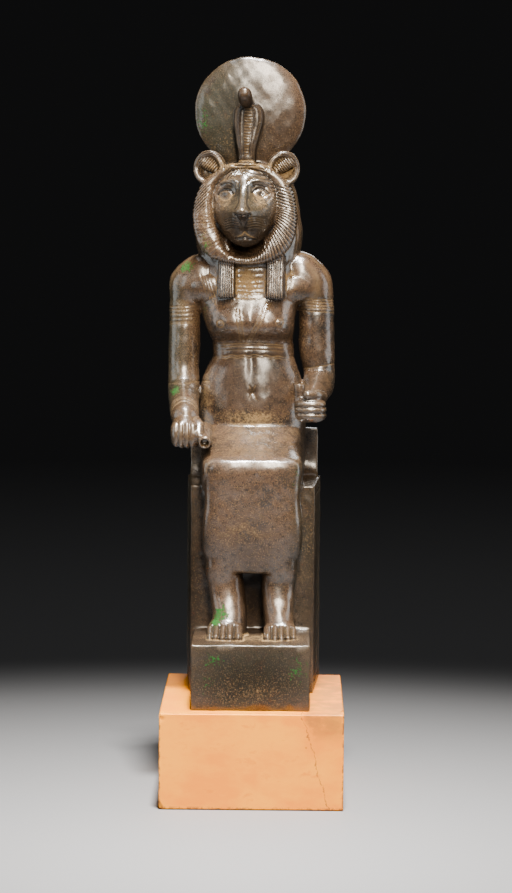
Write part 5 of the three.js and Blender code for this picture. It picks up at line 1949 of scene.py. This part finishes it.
@dataclass(frozen=True)
class MarbleFinish:
    """Honed honey-orange marble with soft clouds, one fine dark vein, dull dirt on the chipped edges and
    painted shade along its foot.
    """

    honey: Colour = (0.68, 0.195, 0.001)
    pale: Colour = (0.75, 0.270, 0.003)
    deep: Colour = (0.58, 0.123, 0.001)
    vein: Colour = (0.160, 0.050, 0.018)
    dirt_and_shade: Colour = (0.130, 0.055, 0.028)

    def material(self) -> bpy.types.Material:
        """The block's material."""
        paint = Paint("honey_marble")
        x, y, z = paint.axes()
        broad, cloud = paint.noise(42, 4, 0.55, 1.5), paint.noise(11, 5, 0.6, 1.8)
        fine, grain = paint.noise(2.4, 4, 0.6), paint.noise(0.5, 2)
        colour = paint.blend((broad * 0.6 + cloud * 0.4).step(0.38, 0.62), self.honey, self.pale)
        colour = paint.blend(cloud.step(0.58, 0.74) * 0.6, colour, self.deep)
        wander = (cloud - 0.5) * 0.006 + (fine - 0.5) * 0.0022
        run = x + z * 0.285 - 0.0452 + wander
        thin = run.math("ABSOLUTE").step(0.0004, 0.0001) * fine.step(0.32, 0.5)
        colour = paint.blend((thin * 0.85).clipped(), colour, self.vein)
        shade = (run.step(0.0, 0.004) * z.step(0.036, 0.05) * cloud.step(0.3, 0.6) * 0.55).clipped()
        colour = paint.blend(shade, colour, self.dirt_and_shade)
        spots = paint.cells(17).step(0.045, 0.02) * fine.step(0.4, 0.6)
        colour = paint.blend((spots * 0.8).clipped(), colour, self.vein)
        # Dirt on the chipped front corners, and painted shade along the foot of the block.
        side = x.math("ABSOLUTE").step(0.0522, 0.0532) * y.step(-0.0716, -0.0726)
        foot = z.step(0.0022, 0.0006)
        rubbed_and_foot_shade = ((side + foot * 0.8) * fine.step(0.45, 0.6)).clipped()
        colour = paint.blend(rubbed_and_foot_shade * 0.8, colour, self.dirt_and_shade)
        surface = {
            "Base Color": colour,
            "Roughness": (0.30 + fine * 0.18 + rubbed_and_foot_shade * 0.3).clipped(),
            "Specular IOR Level": 0.14,
        }
        return paint.finish(surface, [(fine, 0.12, 0.25), (grain, 0.04, 0.25)])


@dataclass(frozen=True)
class FloorFinish:
    """Plain pale grey paper."""

    colour: Colour = (0.23, 0.23, 0.235)

    def material(self) -> bpy.types.Material:
        """The floor's material."""
        paint = Paint("pale_floor")
        return paint.finish({"Base Color": self.colour, "Roughness": 0.7}, [])


@dataclass(frozen=True)
class Lamp:
    """One soft area light, in metres and watts, with its beam in degrees. A flagged one misses the floor."""

    name: str
    place: tuple[float, float, float]
    aim: tuple[float, float, float]
    wide: float
    tall: float
    watts: float
    tint: Colour = (1.0, 1.0, 1.0)
    beam: float = 180.0
    flagged: bool = True

    def build(self, pieces: Sequence[bpy.types.Object]) -> None:
        """Hangs the lamp and turns it to what it lights."""
        light = bpy.data.lights.new(self.name, "AREA")
        light.shape = "RECTANGLE"
        light.size, light.size_y = self.wide, self.tall
        light.energy = self.watts
        light.color = self.tint
        light.spread = math.radians(self.beam)
        thing = added(self.name, light)
        thing.location = self.place
        way = Vector(self.aim) - Vector(self.place)
        thing.rotation_euler = way.to_track_quat("-Z", "Y").to_euler()
        if self.flagged:
            lit = bpy.data.collections.new(f"{self.name}_lit")
            for piece in pieces:
                lit.objects.link(piece)
            thing.light_linking.receiver_collection = lit


@dataclass
class Studio:
    """Floor, lamps and the camera at the photograph's place."""

    eye: tuple[float, float, float] = (0.0200, -1.9081, 0.3758)
    yaw: float = math.radians(-0.58)
    pitch: float = math.radians(5.12)
    roll: float = math.radians(0.43)
    lens: float = 129.58
    sensor: float = 36.0
    backdrop: Colour = (0.006, 0.006, 0.0062)
    floor_reach: float = 2.1
    floor_level: float = -0.0003
    lamps: tuple[Lamp, ...] = (
        Lamp("top", (0.05, -0.34, 1.5), (0, -0.2, 0), 0.15, 0.15, 8.5, (1, 0.97, 0.93), 44, flagged=False),
        Lamp("key", (0.12, -0.98, 0.98), (0, 0, 0.26), 0.17, 0.95, 50, (1, 0.87, 0.7)),
        Lamp("front_fill", (-0.2, -1.9, 0.5), (0, 0, 0.08), 1.0, 0.5, 1.2, (1, 0.95, 0.9)),
        Lamp("left_softbox", (-0.62, -0.55, 0.5), (0, 0, 0.28), 0.25, 0.5, 1.4, (0.88, 0.97, 1)),
        Lamp("left_strip", (-0.75, -0.04, 0.34), (0, 0, 0.26), 0.45, 0.9, 2.6, (0.88, 0.97, 1)),
        Lamp("right_strip", (0.75, -0.06, 0.34), (0, 0, 0.26), 0.4, 0.9, 3.8, (0.9, 0.97, 1)),
        Lamp("back_softbox", (0.2, 1.5, 0.9), (0, 0, 0.25), 0.5, 0.5, 5),
        Lamp("far_top", (0, 0.45, 1.6), (0, 0.45, 0), 0.5, 0.5, 2, flagged=False),
    )

    def build(self, pieces: Sequence[bpy.types.Object]) -> None:
        """Sets everything up round the part."""
        self._floor()
        for lamp in self.lamps:
            lamp.build(pieces)
        world = bpy.data.worlds.new("studio")
        world.use_nodes = True
        world.node_tree.nodes["Background"].inputs[0].default_value = (*self.backdrop, 1.0)
        bpy.context.scene.world = world
        self._camera()

    def _floor(self) -> None:
        """A wide round sheet at the foot of the block, its radius growing evenly from the middle."""
        rows, sides = 24, 48
        radius = np.linspace(0.02, self.floor_reach, rows)[:, None]
        x, y = radius * np.cos(angles(sides)), radius * np.sin(angles(sides))
        points = np.stack([x, y, 0 * x + self.floor_level], -1).reshape(-1, 3)
        spoke = np.arange(sides)
        hub = np.stack([np.full(sides, rows * sides), spoke, (spoke + 1) % sides], 1)
        faces = np.vstack([Shell.walls(rows, sides, False)[:, ::-1], hub])
        floor = added("floor", mesh_of("floor", np.vstack([points, [[0, 0, self.floor_level]]]), faces))
        floor.data.materials.append(FloorFinish().material())

    def _camera(self) -> None:
        """The camera looks along +Y, turned and tipped by the fitted angles."""
        cy, sy, cp, sp = math.cos(self.yaw), math.sin(self.yaw), math.cos(self.pitch), math.sin(self.pitch)
        ahead = Vector((sy * cp, cy * cp, -sp))
        right = Vector((cy, -sy, 0))
        up = right.cross(ahead)
        c, s = math.cos(self.roll), math.sin(self.roll)
        right, up = c * right + s * up, -s * right + c * up
        data = bpy.data.cameras.new("camera")
        data.sensor_fit = "VERTICAL"
        data.sensor_height = self.sensor
        data.lens = self.lens
        camera = added("camera", data)
        turned = Matrix((right, up, -ahead)).transposed().to_4x4()
        camera.matrix_world = Matrix.Translation(self.eye) @ turned
        bpy.context.scene.camera = camera


def main() -> None:
    """Builds the dressed part and the studio."""
    logging.basicConfig(level=logging.INFO, format="%(message)s")
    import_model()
    made = [piece.build() for piece in (Casting(), Plinth())]
    LOG.info("built %s", ", ".join(piece.name for piece in made))
    Studio().build(made)


if __name__ == "__main__":
    main()
